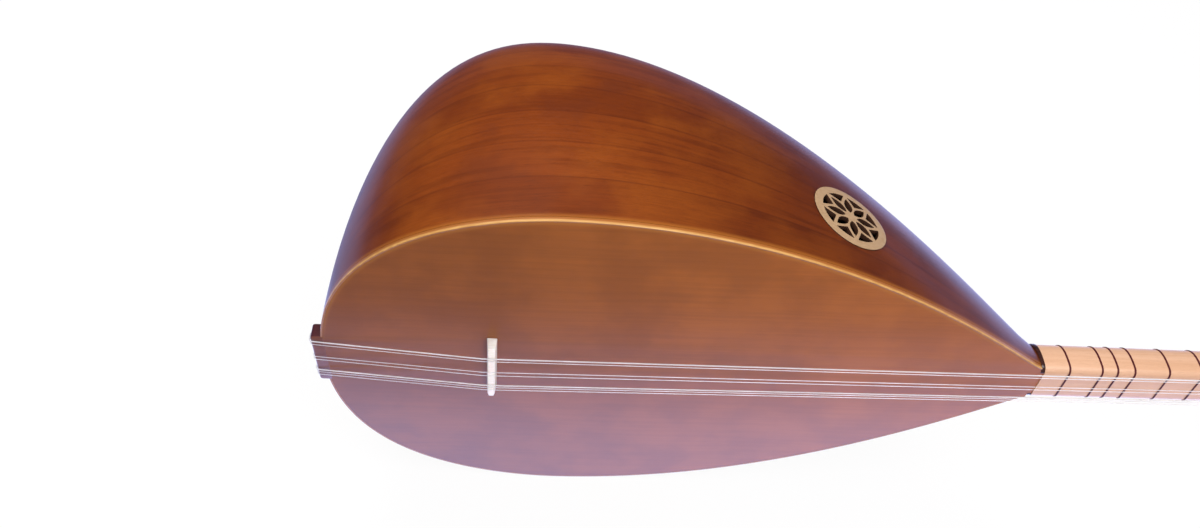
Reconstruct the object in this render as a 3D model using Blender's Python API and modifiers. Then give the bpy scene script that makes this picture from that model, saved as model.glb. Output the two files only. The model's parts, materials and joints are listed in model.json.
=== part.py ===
"""A short-necked saz with a bowl of bent strips, built piece by piece.

X runs along the strings from the tail to the head, Z across the face with the bass side up,
and Y into the depth of the bowl, so the soundboard faces -Y. All sizes are in metres.
The pieces are modelled from the tail end of the soundboard. One empty then carries them to
the middle of the footprint, with the lowest point at zero.
"""

import math

import bmesh
import bpy
import numpy as np
from mathutils import Matrix, Vector

# Clearance between pieces that touch on the real instrument
GAP = 0.0003

# Bowl
BOWL_LENGTH = 0.419
FACE_HALF_WIDTH = 0.1295
WIDEST_AT = 0.1365
BOWL_DEPTH = 0.2425
DEEPEST_AT = 0.116
SHELL = 0.003
BOWL_ROUNDNESS = 2.1
STRIPS = 21
# Strips that are glued up as one node, counted from the bass rim
JOINED_STRIPS = ((2, 3, 4), (10, 11, 12), (18, 19, 20))
# How full the outline and the keel line are: handle lengths as shares of their spans
OUTLINE_TAIL_FULLNESS = 0.868
OUTLINE_REAR_FULLNESS = 0.309
OUTLINE_FRONT_FULLNESS = 0.545
OUTLINE_NECK_FULLNESS = 0.052
OUTLINE_NECK_ANGLE = math.radians(22.9)
KEEL_TAIL_FULLNESS = 0.375
KEEL_REAR_FULLNESS = 0.803
KEEL_FRONT_FULLNESS = 0.461
KEEL_NECK_FULLNESS = 0.060
KEEL_NECK_ANGLE = math.radians(25.0)

# Soundboard, the strips along its edge, and what is glued inside
BOARD_THICKNESS = 0.0032
EDGE_STRIP_WIDTH = 0.0012
BRACE_AT = 0.200
BRACE_WIDTH = 0.008
BRACE_HEIGHT = 0.012
NECK_BLOCK_LENGTH = 0.055
TAIL_BLOCK_HALF_WIDTH = 0.022
TAIL_BLOCK_HEIGHT = 0.028
TAIL_BLOCK_THICKNESS = 0.016
BLOCK_CLEARANCE = 0.0009

# Rosette in the bass flank
ROSETTE_STRIPS = JOINED_STRIPS[0]
ROSETTE_FACE_MARGIN = 0.0022
ROSETTE_KEEL_MARGIN = 0.0032
ROSETTE_RADIUS = 0.024
ROSETTE_RING = 0.0053
ROSETTE_THICKNESS = 0.0028
ROSETTE_PROUD = 0.0004
ROSETTE_POINTS = 8
ROSETTE_SIDES = 48

# Block let into the tail, where the strings hook in
TAILPIECE_BASS_END = 0.024
TAILPIECE_TREBLE_END = -0.0187
TAILPIECE_OUT = 0.0042
TAILPIECE_OVER_BOARD = 0.003
TAILPIECE_PROUD = 0.0003
TAILPIECE_DEPTH = 0.0092
TAILPIECE_EDGE = 0.0009
TAILPIECE_CORNER = 0.0018
TAIL_HOLE_DEPTH = 0.0052
TAIL_HOLE_LENGTH = 0.0028

# Neck
RING_THICKNESS = 0.0015
RING_PROUD = 0.0004
BOARD_TONGUE = 0.0107
NECK_HALF_WIDTH = 0.0147
NECK_DEPTH = 0.0244
NECK_CORNER = 0.0037
NECK_ROUNDNESS = 2.5
NECK_HALF_WIDTH_AT_NUT = 0.0140
NECK_DEPTH_AT_NUT = 0.0210
FACE_RISE = 0.0006
TENON_WIDTH = 0.012
TENON_HEIGHT = 0.010
TENON_LENGTH = 0.035

# Strings and what they run over
SCALE_LENGTH = 0.711
LAST_FRET_AHEAD = 0.01473
BRIDGE_BASS_END = 0.0282
BRIDGE_TREBLE_END = -0.0225
BRIDGE_FOOT = 0.0059
BRIDGE_TOP = 0.0026
BRIDGE_HEIGHT = 0.0067
BRIDGE_POINT = 0.004
BRIDGE_END_SLOPE = 0.0012
BRIDGE_SLANT = math.radians(1.7)
BRIDGE_TRAVEL = 0.003
NUT_THICKNESS = 0.004
NUT_HEIGHT = 0.0014
NUT_SEAT = 0.0025
STRINGS_IN_COURSE = (2, 2, 3)
WOUND_DIAMETER = 0.00075
PLAIN_DIAMETER = 0.0004
# Middle of each course above the centre line, then the spacing inside the course
TAIL_COURSES = ((0.0189, 0.0031), (0.0040, 0.0028), (-0.0102, 0.0026))
BRIDGE_COURSES = ((0.0163, 0.0029), (0.0023, 0.0034), (-0.0118, 0.0025))
NUT_COURSES = ((0.0103, 0.0026), (0.0006, 0.0024), (-0.0086, 0.0020))

# Tied frets: open string over stopped string, from the nut up, the last six as they are tied
FRET_RATIOS = (
    18 / 17, 12 / 11, 9 / 8, 81 / 68, 27 / 22, 81 / 64, 4 / 3, 24 / 17, 16 / 11,
    3 / 2, 27 / 17, 18 / 11, 1.705, 1.789, 1.887, 1.940, 1.990, 2.104,
)
FRET_WIDTH = 0.0011
FRET_THICKNESS = 0.0004

# Head
HEAD_LENGTH = 0.175
HEAD_TILT = math.radians(12.0)
HEAD_CORNER = 0.0035
HEAD_ROUNDNESS = 5.0
# Head sections: share of its length, half width, thickness
HEAD_SECTIONS = (
    (0.08, 0.0142, 0.0185),
    (0.50, 0.0138, 0.0170),
    (0.93, 0.0130, 0.0150),
    (1.00, 0.0095, 0.0120),
)
FRONT_PEGS_AT = (0.034, 0.069, 0.104, 0.139)
SIDE_PEGS_AT = (0.050, 0.085, 0.120)
SIDE_PEG_DEPTH = 0.0088
PEG_RADIUS = 0.0036
PEG_TAPER = 0.014
PEG_CLEARANCE = 0.0003
PEG_STANDOFF = 0.0095
PEG_HANDLE = 0.015
PEG_END = 0.003
PEG_SIDES = 12
WINDING_TURNS = 3
WINDING_STEPS = 10
WINDING_START = 0.0028
WINDING_SPACE = 0.00045
EDGE_SHARE = 0.62

STATIONS = 20
SECTION_POINTS = 10
CORNER_POINTS = 3
HOLE_SIDES = 16
LINE_SAMPLES = 400
ROUND_SAMPLES = 721

RIM_DEPTH = BOARD_THICKNESS + GAP
NECK_START = BOWL_LENGTH + RING_THICKNESS + 2 * GAP
BRIDGE_AT = NECK_START + LAST_FRET_AHEAD - SCALE_LENGTH / FRET_RATIOS[-1]
NUT_AT = BRIDGE_AT + SCALE_LENGTH
HEAD_JOINT = NUT_AT + NUT_THICKNESS

MATERIALS = {
    "bowl_wood": ((0.30, 0.10, 0.035), 0.32, 0.0),
    "bowl_wood_light": ((0.36, 0.13, 0.045), 0.32, 0.0),
    "soundboard_wood": ((0.33, 0.16, 0.07), 0.40, 0.0),
    "edge_wood": ((0.66, 0.40, 0.15), 0.35, 0.0),
    "inner_wood": ((0.55, 0.40, 0.25), 0.70, 0.0),
    "rosette_wood": ((0.78, 0.58, 0.38), 0.45, 0.0),
    "dark_wood": ((0.09, 0.035, 0.025), 0.40, 0.0),
    "neck_wood": ((0.78, 0.52, 0.34), 0.42, 0.0),
    "bone": ((0.90, 0.88, 0.84), 0.35, 0.0),
    "peg_wood": ((0.13, 0.05, 0.03), 0.40, 0.0),
    "fret_cord": ((0.12, 0.02, 0.03), 0.45, 0.0),
    "steel_wire": ((0.80, 0.80, 0.80), 0.25, 1.0),
    "wound_wire": ((0.76, 0.74, 0.70), 0.30, 1.0),
}


def clear_scene():
    """Remove whatever the scene holds."""
    for item in list(bpy.data.objects):
        bpy.data.objects.remove(item, do_unlink=True)


def new_collection(name):
    collection = bpy.data.collections.new(name)
    bpy.context.scene.collection.children.link(collection)
    return collection


def new_material(name, colour, roughness, metallic):
    material = bpy.data.materials.new(name)
    material.use_nodes = True
    shader = material.node_tree.nodes["Principled BSDF"]
    shader.inputs["Base Color"].default_value = (*colour, 1.0)
    shader.inputs["Roughness"].default_value = roughness
    shader.inputs["Metallic"].default_value = metallic
    return material


clear_scene()
PIECES = new_collection("saz")
GUIDES = new_collection("saz_guides")
FINISH = {name: new_material(name, *values) for name, values in MATERIALS.items()}
CARRIER = bpy.data.objects.new("saz_carrier", None)
PIECES.objects.link(CARRIER)


def place(name, data, finish, location=(0, 0, 0), turn=None):
    """Put a finished shape into the saz under its own name."""
    piece = bpy.data.objects.new(name, data)
    if turn is not None:
        piece.matrix_world = Matrix.Translation(location) @ turn.to_4x4()
    else:
        piece.location = location
    if not data.materials:
        data.materials.append(FINISH[finish])
    PIECES.objects.link(piece)
    piece.parent = CARRIER
    return piece


def place_guide(name, mesh, matrix):
    """A shape that is only there to be cut out of a piece or joined to it."""
    guide = bpy.data.objects.new(f"{name}_guide", mesh)
    guide.matrix_world = matrix
    guide.hide_render = True
    guide.display_type = "WIRE"
    GUIDES.objects.link(guide)
    guide.parent = CARRIER
    return guide


def combine(piece, guide, operation):
    modifier = piece.modifiers.new(guide.name, "BOOLEAN")
    modifier.operation = operation
    modifier.solver = "EXACT"
    modifier.object = guide


def loft(name, rings):
    """Skin a row of equal rings and close both ends."""
    shape = bmesh.new()
    rows = [[shape.verts.new(point) for point in ring] for ring in rings]
    count = len(rows[0])
    for row, after in zip(rows, rows[1:]):
        for k in range(count):
            m = (k + 1) % count
            shape.faces.new((row[k], row[m], after[m], after[k]))
    shape.faces.new(rows[0][::-1])
    shape.faces.new(rows[-1])
    bmesh.ops.recalc_face_normals(shape, faces=shape.faces)
    mesh = bpy.data.meshes.new(name)
    shape.to_mesh(mesh)
    shape.free()
    mesh.shade_smooth()
    mesh.set_sharp_from_angle(angle=math.radians(30))
    return mesh


def box(name, size):
    """A box about its own centre."""
    shape = bmesh.new()
    bmesh.ops.create_cube(shape, size=1.0, matrix=Matrix.Diagonal((*size, 1.0)))
    mesh = bpy.data.meshes.new(name)
    shape.to_mesh(mesh)
    shape.free()
    return mesh


def cone(name, radius, far_radius, length, sides):
    """A tapered round bar along Z, from its thick end at length to its thin end at zero."""
    shape = bmesh.new()
    bmesh.ops.create_cone(
        shape, cap_ends=True, segments=sides, radius1=far_radius, radius2=radius, depth=length,
        matrix=Matrix.Translation((0, 0, length / 2)),
    )
    mesh = bpy.data.meshes.new(name)
    shape.to_mesh(mesh)
    shape.free()
    return mesh


def plate(name, outline, thickness, holes=()):
    """A flat outline, with any holes, as a 2D curve given a thickness."""
    curve = bpy.data.curves.new(name, "CURVE")
    curve.dimensions = "2D"
    curve.fill_mode = "BOTH"
    curve.extrude = thickness / 2
    for points in (outline, *holes):
        spline = curve.splines.new("POLY")
        spline.points.add(len(points) - 1)
        for slot, (u, v) in zip(spline.points, points):
            slot.co = (u, v, 0, 1)
        spline.use_cyclic_u = True
    return curve


def offset_line(points, distance, closed):
    """Move a line sideways by a distance, to the left of its direction."""
    moved = []
    count = len(points)
    for k, point in enumerate(points):
        before = points[k - 1] if closed or k > 0 else point
        after = points[(k + 1) % count] if closed or k < count - 1 else point
        into = (Vector(point) - Vector(before)).normalized()
        out_of = (Vector(after) - Vector(point)).normalized()
        if into.length == 0:
            into = out_of
        if out_of.length == 0:
            out_of = into
        side = Vector((-into.y - out_of.y, into.x + out_of.x))
        side *= 2 / side.length_squared
        moved.append(tuple(Vector(point) + side * distance))
    return moved


def bezier(start, start_handle, end_handle, end, count):
    t = np.linspace(0, 1, count)[:, None]
    s = 1 - t
    a, b, c, d = [np.array(corner) for corner in (start, start_handle, end_handle, end)]
    return s**3 * a + 3 * s * s * t * b + 3 * s * t * t * c + t**3 * d


def bowl_line(peak, peak_at, tail, rear, front, neck, angle, end):
    """A line of the bowl from the tail over its fullest point to the neck."""
    ahead = BOWL_LENGTH - peak_at
    behind = bezier(
        (0, 0), (0, tail * peak), (peak_at * (1 - rear), peak), (peak_at, peak), LINE_SAMPLES
    )
    reach = neck * ahead
    before = bezier(
        (peak_at, peak), (peak_at + front * ahead, peak),
        (BOWL_LENGTH - reach, end + reach * math.tan(angle)), (BOWL_LENGTH, end), LINE_SAMPLES,
    )
    line = np.vstack([behind, before[1:]])
    slope = np.gradient(line[:, 1]) / np.gradient(line[:, 0])
    return line[:, 0], line[:, 1], slope


OUTLINE = bowl_line(
    FACE_HALF_WIDTH, WIDEST_AT, OUTLINE_TAIL_FULLNESS, OUTLINE_REAR_FULLNESS,
    OUTLINE_FRONT_FULLNESS, OUTLINE_NECK_FULLNESS, OUTLINE_NECK_ANGLE, NECK_HALF_WIDTH,
)
KEEL = bowl_line(
    BOWL_DEPTH - RIM_DEPTH, DEEPEST_AT, KEEL_TAIL_FULLNESS, KEEL_REAR_FULLNESS,
    KEEL_FRONT_FULLNESS, KEEL_NECK_FULLNESS, KEEL_NECK_ANGLE, NECK_DEPTH - RIM_DEPTH,
)


def read_line(line, x):
    """Height and slope of a bowl line at x."""
    return float(np.interp(x, line[0], line[1])), float(np.interp(x, line[0], line[2]))


def signed_power(value, power):
    return math.copysign(abs(value) ** power, value)


def bowl_frame(x, turn):
    """Point, outward normal and direction round the bowl. turn is 0 at the bass rim."""
    width, width_slope = read_line(OUTLINE, x)
    depth, depth_slope = read_line(KEEL, x)
    power = 2 / BOWL_ROUNDNESS
    across = signed_power(math.cos(turn), power)
    down = signed_power(math.sin(turn), power)
    point = Vector((x, RIM_DEPTH + depth * down, width * across))
    across_term = abs(across) ** BOWL_ROUNDNESS
    down_term = abs(down) ** BOWL_ROUNDNESS
    normal = Vector((
        -across_term * width_slope / width - down_term * depth_slope / depth,
        abs(down) ** (BOWL_ROUNDNESS - 1) / depth,
        signed_power(across, BOWL_ROUNDNESS - 1) / width,
    )).normalized()
    round_way = Vector((0, normal.z, -normal.y)).normalized()
    return point, normal, round_way


def way_round(x, first, last, samples):
    """Turns from the first to the last at x, and the way round the bowl to each of them."""
    turns = np.linspace(first, last, samples)
    line = np.array([bowl_frame(x, turn)[0] for turn in turns])
    return turns, np.concatenate([[0], np.cumsum(np.linalg.norm(np.diff(line, axis=0), axis=1))])


def strip_turns():
    """Turns of the glue lines, evenly spaced round the widest section."""
    turns, way = way_round(WIDEST_AT, 0, math.pi, ROUND_SAMPLES)
    return np.interp(np.linspace(0, way[-1], STRIPS + 1), way, turns)


def bowl_stations():
    """Places along the bowl, close together at the blunt tail."""
    first = math.radians(0.5)
    angles = np.linspace(first, math.pi / 2, STATIONS)
    return [BOWL_LENGTH * (1 - math.cos(angle)) for angle in angles]


TURNS = strip_turns()
BOWL_X = bowl_stations()


def strip_ring(x, first, last):
    """Section of the strips first to last, with a groove at each glue line between them."""
    outer = []
    inner = []
    for strip in range(first, last + 1):
        near, far = TURNS[strip - 1], TURNS[strip]
        for turn, push in ((near, 1), ((near + far) / 2, 0), (far, -1)):
            point, normal, round_way = bowl_frame(x, turn)
            at_rim = turn in (TURNS[0], TURNS[-1])
            shift = Vector((0, 0, 0)) if at_rim else round_way * (push * GAP / 2)
            outer.append(point + shift)
            between = (turn == near and strip > first) or (turn == far and strip < last)
            if not between:
                inner.append(point + shift - normal * SHELL)
            elif turn == far:
                outer.append(point - normal * GAP)
                inner.append(point - normal * SHELL)
    return outer + inner[::-1]


def make_bowl():
    """The strips, glued to each other along their edges."""
    joined = {group[0]: group[-1] for group in JOINED_STRIPS}
    pieces = []
    strip = 1
    while strip <= STRIPS:
        last = joined.get(strip, strip)
        name = f"stave_{strip:02d}" if last == strip else f"staves_{strip:02d}_to_{last:02d}"
        finish = "bowl_wood" if len(pieces) % 2 == 0 else "bowl_wood_light"
        mesh = loft(name, [strip_ring(x, strip, last) for x in BOWL_X])
        pieces.append(place(name, mesh, finish))
        strip = last + 1
    return pieces


def on_bowl(point, direction):
    """Slide a point along a direction onto the outside of the bowl."""
    low, high = -0.02, 0.02
    for _ in range(40):
        middle = (low + high) / 2
        trial = point + direction * middle
        width = read_line(OUTLINE, trial.x)[0]
        depth = read_line(KEEL, trial.x)[0]
        level = (abs(trial.z) / width) ** BOWL_ROUNDNESS
        level += (max(trial.y - RIM_DEPTH, 0) / depth) ** BOWL_ROUNDNESS
        if level < 1:
            low = middle
        else:
            high = middle
    return point + direction * low


def polar(radius, angle):
    return (radius * math.cos(angle), radius * math.sin(angle))


def rosette_holes():
    """A pierced star with a leaf in each of its points."""
    step = 2 * math.pi / ROSETTE_POINTS
    inside = ROSETTE_RADIUS - ROSETTE_RING
    notch = 0.80 * inside
    holes = []
    for k in range(ROSETTE_POINTS):
        valley = (k + 0.5) * step
        rim = [polar(inside, valley + share * step) for share in (0.39, 0.2, 0, -0.2, -0.39)]
        holes.append([polar(notch, valley), *rim])
        tip = k * step
        leaf = []
        for share, half in ((0.22, 0), (0.36, 0.085), (0.56, 0.13), (0.72, 0.09), (0.86, 0)):
            leaf.append((share * inside, half * inside))
        turned = leaf + [(u, -v) for u, v in leaf[-2:0:-1]]
        holes.append([
            (u * math.cos(tip) - v * math.sin(tip), u * math.sin(tip) + v * math.cos(tip))
            for u, v in turned
        ])
    return holes


def rosette_seat():
    """Where its strips, narrowing to the neck, have just the room that the rosette needs."""
    room = ROSETTE_FACE_MARGIN + 2 * ROSETTE_RADIUS + ROSETTE_KEEL_MARGIN
    ends = (TURNS[ROSETTE_STRIPS[0] - 1], TURNS[ROSETTE_STRIPS[-1]])
    places = np.linspace(BOWL_LENGTH, WIDEST_AT, STATIONS * STATIONS)
    widths = [way_round(x, *ends, STATIONS)[1][-1] for x in places]
    x = float(np.interp(room, widths, places))
    turns, way = way_round(x, *ends, STATIONS)
    return x, float(np.interp(ROSETTE_FACE_MARGIN + ROSETTE_RADIUS, way, turns))


def make_rosette(staves):
    """The pierced disc, let into the flank, and the round hole that it fills."""
    centre, normal, _ = bowl_frame(*rosette_seat())
    along = (Vector((1, 0, 0)) - normal * normal.x).normalized()
    up = normal.cross(along)
    turn = Matrix((along, up, normal)).transposed()
    sides = ROSETTE_SIDES
    circle = [polar(ROSETTE_RADIUS, 2 * math.pi * k / sides) for k in range(sides)]
    curve = plate("rosette_flat", circle, ROSETTE_THICKNESS, rosette_holes())
    flat = bpy.data.objects.new(curve.name, curve)
    GUIDES.objects.link(flat)
    bpy.context.view_layer.update()
    view = flat.evaluated_get(bpy.context.evaluated_depsgraph_get())
    mesh = bpy.data.meshes.new_from_object(view)
    shape = bmesh.new()
    shape.from_mesh(mesh)
    bmesh.ops.remove_doubles(shape, verts=shape.verts, dist=0.00001)
    for vertex in shape.verts:
        height = vertex.co.z - ROSETTE_THICKNESS / 2 + ROSETTE_PROUD
        seat = on_bowl(centre + along * vertex.co.x + up * vertex.co.y, normal)
        vertex.co = seat + normal * height
    shape.to_mesh(mesh)
    shape.free()
    bpy.data.objects.remove(flat, do_unlink=True)
    mesh.materials.clear()
    place("rosette", mesh, "rosette_wood")
    reach = 10 * SHELL
    radius = (ROSETTE_RADIUS + GAP) / math.cos(math.pi / sides)
    hole = cone("rosette_hole", radius, radius, 2 * reach, sides)
    matrix = Matrix.Translation(centre - normal * reach) @ turn.to_4x4()
    combine(staves, place_guide("rosette_hole", hole, matrix), "DIFFERENCE")


def bass_edge(inset):
    """The bowl's outline seen from the front, moved in, from the neck to the tail."""
    line = [(x, read_line(OUTLINE, x)[0]) for x in BOWL_X[::-1]]
    return offset_line(line + [(0.0, 0.0)], inset, False)[:-1]


def edge_between(inset, end):
    """The part of one edge between the neck and the tail block, which ends at a given height."""
    whole = bass_edge(inset)
    line = [point for point in whole if point[0] > WIDEST_AT or point[1] > end]
    last, after = line[-1], whole[len(line)]
    share = (last[1] - end) / (last[1] - after[1])
    return line + [(last[0] + share * (after[0] - last[0]), end)]


UPRIGHT = Matrix.Rotation(math.radians(90), 3, "X")


def make_soundboard():
    """The flat face, the light strips let in along its edges, and the brace under it."""
    middle = (0, BOARD_THICKNESS / 2, 0)
    sides = (
        ("edge_strip_bass", TAILPIECE_BASS_END + GAP, 1),
        ("edge_strip_treble", GAP - TAILPIECE_TREBLE_END, -1),
    )
    tongue = BOARD_TONGUE
    halves = []
    for name, end, way in sides:
        outer = edge_between(0, end)
        inner = edge_between(EDGE_STRIP_WIDTH, end)
        strip = [(x, way * z) for x, z in outer + inner[::-1]]
        place(name, plate(name, strip, BOARD_THICKNESS), "edge_wood", middle, UPRIGHT)
        reach = BOWL_LENGTH + GAP + RING_THICKNESS
        half = [(reach, tongue), (BOWL_LENGTH, tongue)]
        half += edge_between(EDGE_STRIP_WIDTH + GAP, end)
        half.append((TAILPIECE_OVER_BOARD + GAP, end))
        halves.append([(x, way * z) for x, z in half])
    board = plate("soundboard", halves[0] + halves[1][::-1], BOARD_THICKNESS)
    place("soundboard", board, "soundboard_wood", middle, UPRIGHT)
    width, slope = read_line(OUTLINE, BRACE_AT)
    wall = SHELL * math.hypot(1, slope) + 2 * BLOCK_CLEARANCE
    size = (BRACE_WIDTH, BRACE_HEIGHT, 2 * (width - wall))
    brace = box("soundboard_brace", size)
    place("soundboard_brace", brace, "inner_wood", (BRACE_AT, RIM_DEPTH + BRACE_HEIGHT / 2, 0))


def inner_section(x):
    """Half width and depth left inside the bowl at x."""
    width, width_slope = read_line(OUTLINE, x)
    depth, depth_slope = read_line(KEEL, x)
    wall = SHELL * math.hypot(1, width_slope) + BLOCK_CLEARANCE
    floor = SHELL * math.hypot(1, depth_slope) + BLOCK_CLEARANCE
    return width - wall, depth - floor


def block_ring(x):
    width, depth = inner_section(x)
    ring = []
    for k in range(SECTION_POINTS + 1):
        turn = math.pi * k / SECTION_POINTS
        across = signed_power(math.cos(turn), 2 / BOWL_ROUNDNESS)
        down = signed_power(math.sin(turn), 2 / BOWL_ROUNDNESS)
        ring.append((x, RIM_DEPTH + depth * down, width * across))
    return ring


def tenon_middle():
    """Depth of the tenon's axis below the face."""
    return (RIM_DEPTH + NECK_DEPTH) / 2 - SHELL / 2


def make_blocks():
    """The blocks inside the bowl that hold the neck and the strips' tail ends."""
    # The neck block stops short of the ring by what the slanted strip ends need
    stop = BOWL_LENGTH - SHELL * math.sin(KEEL_NECK_ANGLE) - GAP
    start = stop - NECK_BLOCK_LENGTH
    rings = [block_ring(start + (stop - start) * share) for share in (0, 0.5, 1)]
    neck_block = place("neck_block", loft("neck_block", rings), "inner_wood")
    room = GAP * 2
    mortise = box("mortise", (TENON_LENGTH * 2, TENON_HEIGHT + room, TENON_WIDTH + room))
    middle = Matrix.Translation((BOWL_LENGTH, tenon_middle(), 0))
    combine(neck_block, place_guide("mortise", mortise, middle), "DIFFERENCE")

    # The tail block stands as near the tail as the strips let its corners come
    turns = np.linspace(0, math.pi / 2, 60)
    stations = np.linspace(BOWL_X[0], DEEPEST_AT, 200)
    near = np.array([bowl_frame(x, turn)[0] for x in stations for turn in turns])
    room = SHELL + BLOCK_CLEARANCE
    back = 0.0
    for depth in (RIM_DEPTH, RIM_DEPTH + TAIL_BLOCK_HEIGHT):
        aside = np.hypot(near[:, 1] - depth, near[:, 2] - TAIL_BLOCK_HALF_WIDTH)
        close = aside < room
        back = max(back, float((near[close, 0] + np.sqrt(room**2 - aside[close] ** 2)).max()))
    size = (TAIL_BLOCK_THICKNESS, TAIL_BLOCK_HEIGHT, 2 * TAIL_BLOCK_HALF_WIDTH)
    centre = (back + TAIL_BLOCK_THICKNESS / 2, RIM_DEPTH + TAIL_BLOCK_HEIGHT / 2, 0)
    place("tail_block", box("tail_block", size), "inner_wood", centre)


def neck_outline(half_width, depth, corner, roundness, flat_depth):
    """A flat-faced section with rounded corners and a bellied back, as (across, depth)."""
    flat = half_width - corner
    quarter = np.linspace(0, math.pi / 2, CORNER_POINTS)
    bass = [(flat + corner * math.sin(a), flat_depth + corner * (1 - math.cos(a))) for a in quarter]
    belly = depth - flat_depth - corner
    back = []
    for k in range(1, SECTION_POINTS):
        turn = math.pi * k / SECTION_POINTS
        across = half_width * signed_power(math.cos(turn), 2 / roundness)
        down = flat_depth + corner + belly * abs(math.sin(turn)) ** (2 / roundness)
        back.append((across, down))
    treble = [(-across, down) for across, down in bass[::-1]]
    return bass + back + treble


def neck_size(x):
    """Half width and depth of the neck at x."""
    share = (x - NECK_START) / (HEAD_JOINT - NECK_START)
    half_width = NECK_HALF_WIDTH + (NECK_HALF_WIDTH_AT_NUT - NECK_HALF_WIDTH) * share
    depth = NECK_DEPTH + (NECK_DEPTH_AT_NUT - NECK_DEPTH) * share
    return half_width, depth


def neck_section(x):
    return neck_outline(*neck_size(x), NECK_CORNER, NECK_ROUNDNESS, -FACE_RISE)


def make_neck():
    """The neck with its tenon and the seat that is cut in it for the nut."""
    rings = [[(x, y, z) for z, y in neck_section(x)] for x in (NECK_START, HEAD_JOINT)]
    neck = place("neck", loft("neck", rings), "neck_wood")
    root = NECK_CORNER
    tenon = box("tenon", (TENON_LENGTH + root, TENON_HEIGHT, TENON_WIDTH))
    middle = NECK_START + (root - TENON_LENGTH) / 2
    guide = place_guide("tenon", tenon, Matrix.Translation((middle, tenon_middle(), 0)))
    combine(neck, guide, "UNION")
    depth = NUT_SEAT + FACE_RISE
    length = NUT_THICKNESS + GAP
    seat = box("nut_seat", (2 * length, 2 * depth, 3 * NECK_HALF_WIDTH_AT_NUT))
    guide = place_guide("nut_seat", seat, Matrix.Translation((HEAD_JOINT, -FACE_RISE, 0)))
    combine(neck, guide, "DIFFERENCE")


def make_joint_ring():
    """The dark ring between the bowl and the neck. The soundboard's tongue lies over it."""
    half_width = NECK_HALF_WIDTH + RING_PROUD
    corner = NECK_CORNER + RING_PROUD
    outer = neck_outline(half_width, NECK_DEPTH + RING_PROUD, corner, NECK_ROUNDNESS, -GAP)
    step = BOARD_TONGUE + GAP
    outer = [(step, RIM_DEPTH), (step, -GAP), *outer, (-step, -GAP), (-step, RIM_DEPTH)]
    half_width = TENON_WIDTH / 2 + GAP
    top = tenon_middle() - TENON_HEIGHT / 2 - GAP
    bottom = tenon_middle() + TENON_HEIGHT / 2 + GAP
    hole = [(half_width, top), (half_width, bottom), (-half_width, bottom), (-half_width, top)]
    ring = plate("joint_ring", outer, RING_THICKNESS, [hole])
    middle = (BOWL_LENGTH + GAP + RING_THICKNESS / 2, 0, 0)
    place("joint_ring", ring, "dark_wood", middle, SIDEWAYS)


# Turns a flat outline so that its width runs across the neck and its height into the depth
SIDEWAYS = Matrix(((0, 0, -1), (0, 1, 0), (1, 0, 0)))


def make_nut():
    """The bone bar that the strings cross at the top of the neck."""
    top = -NUT_HEIGHT
    bottom = NUT_SEAT - GAP
    half_width = neck_size(NUT_AT)[0] - NECK_CORNER / 4
    size = (NUT_THICKNESS - GAP, bottom - top, 2 * half_width)
    nut = place("nut", box("nut", size), "bone", (HEAD_JOINT - size[0] / 2, (top + bottom) / 2, 0))
    edge = nut.modifiers.new("edge", "BEVEL")
    edge.width = GAP
    edge.segments = 1


def make_frets():
    """The tied frets. Each can be pushed along the neck."""
    for number, ratio in enumerate(FRET_RATIOS, 1):
        x = BRIDGE_AT + SCALE_LENGTH / ratio
        section = neck_section(x)
        inner = offset_line(section, -GAP, True)
        outer = offset_line(section, -GAP - FRET_THICKNESS, True)
        ring = plate(f"fret_{number:02d}", outer, FRET_WIDTH, [inner])
        place(f"fret_{number:02d}", ring, "fret_cord", (x, 0, 0), SIDEWAYS)


def make_bridge():
    """The bone bridge: square at the bass end, pointed at the treble end, narrower on top."""
    middle = (BRIDGE_BASS_END + BRIDGE_TREBLE_END) / 2
    half = (BRIDGE_BASS_END - BRIDGE_TREBLE_END) / 2
    foot = BRIDGE_FOOT / 2
    top = BRIDGE_TOP / 2
    point = BRIDGE_FOOT / 8
    shoulder = BRIDGE_POINT - half
    rings = []
    levels = ((GAP, foot, point, 0), (BRIDGE_HEIGHT, top, top / 2, BRIDGE_END_SLOPE))
    for height, width, tip, draw in levels:
        end = half - draw
        outline = [(width, end), (-width, end), (-width, shoulder)]
        outline += [(-tip, -end), (tip, -end), (width, shoulder)]
        rings.append([(u, -height, v) for u, v in outline])
    turn = Matrix.Rotation(BRIDGE_SLANT, 3, "Y")
    place("bridge", loft("bridge", rings), "bone", (BRIDGE_AT, 0, middle), turn)


def string_list():
    """Course, place in its course and number in its course of each string, bass first."""
    return [(course, k, count) for course, count in enumerate(STRINGS_IN_COURSE) for k in range(count)]


def string_across(courses, course, k, count):
    centre, pitch = courses[course]
    return centre + ((count - 1) / 2 - k) * pitch


def string_radius(course, k):
    """The first string of the outer courses is wound, and thicker."""
    thick = k == 0 and course != 1
    return (WOUND_DIAMETER if thick else PLAIN_DIAMETER) / 2


def tail_seat(across):
    """How far along the outside of the bowl's tail lies, at a distance from the middle."""
    x, width = OUTLINE[0][:LINE_SAMPLES], OUTLINE[1][:LINE_SAMPLES]
    return float(np.interp(across, width, x)) - GAP


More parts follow.
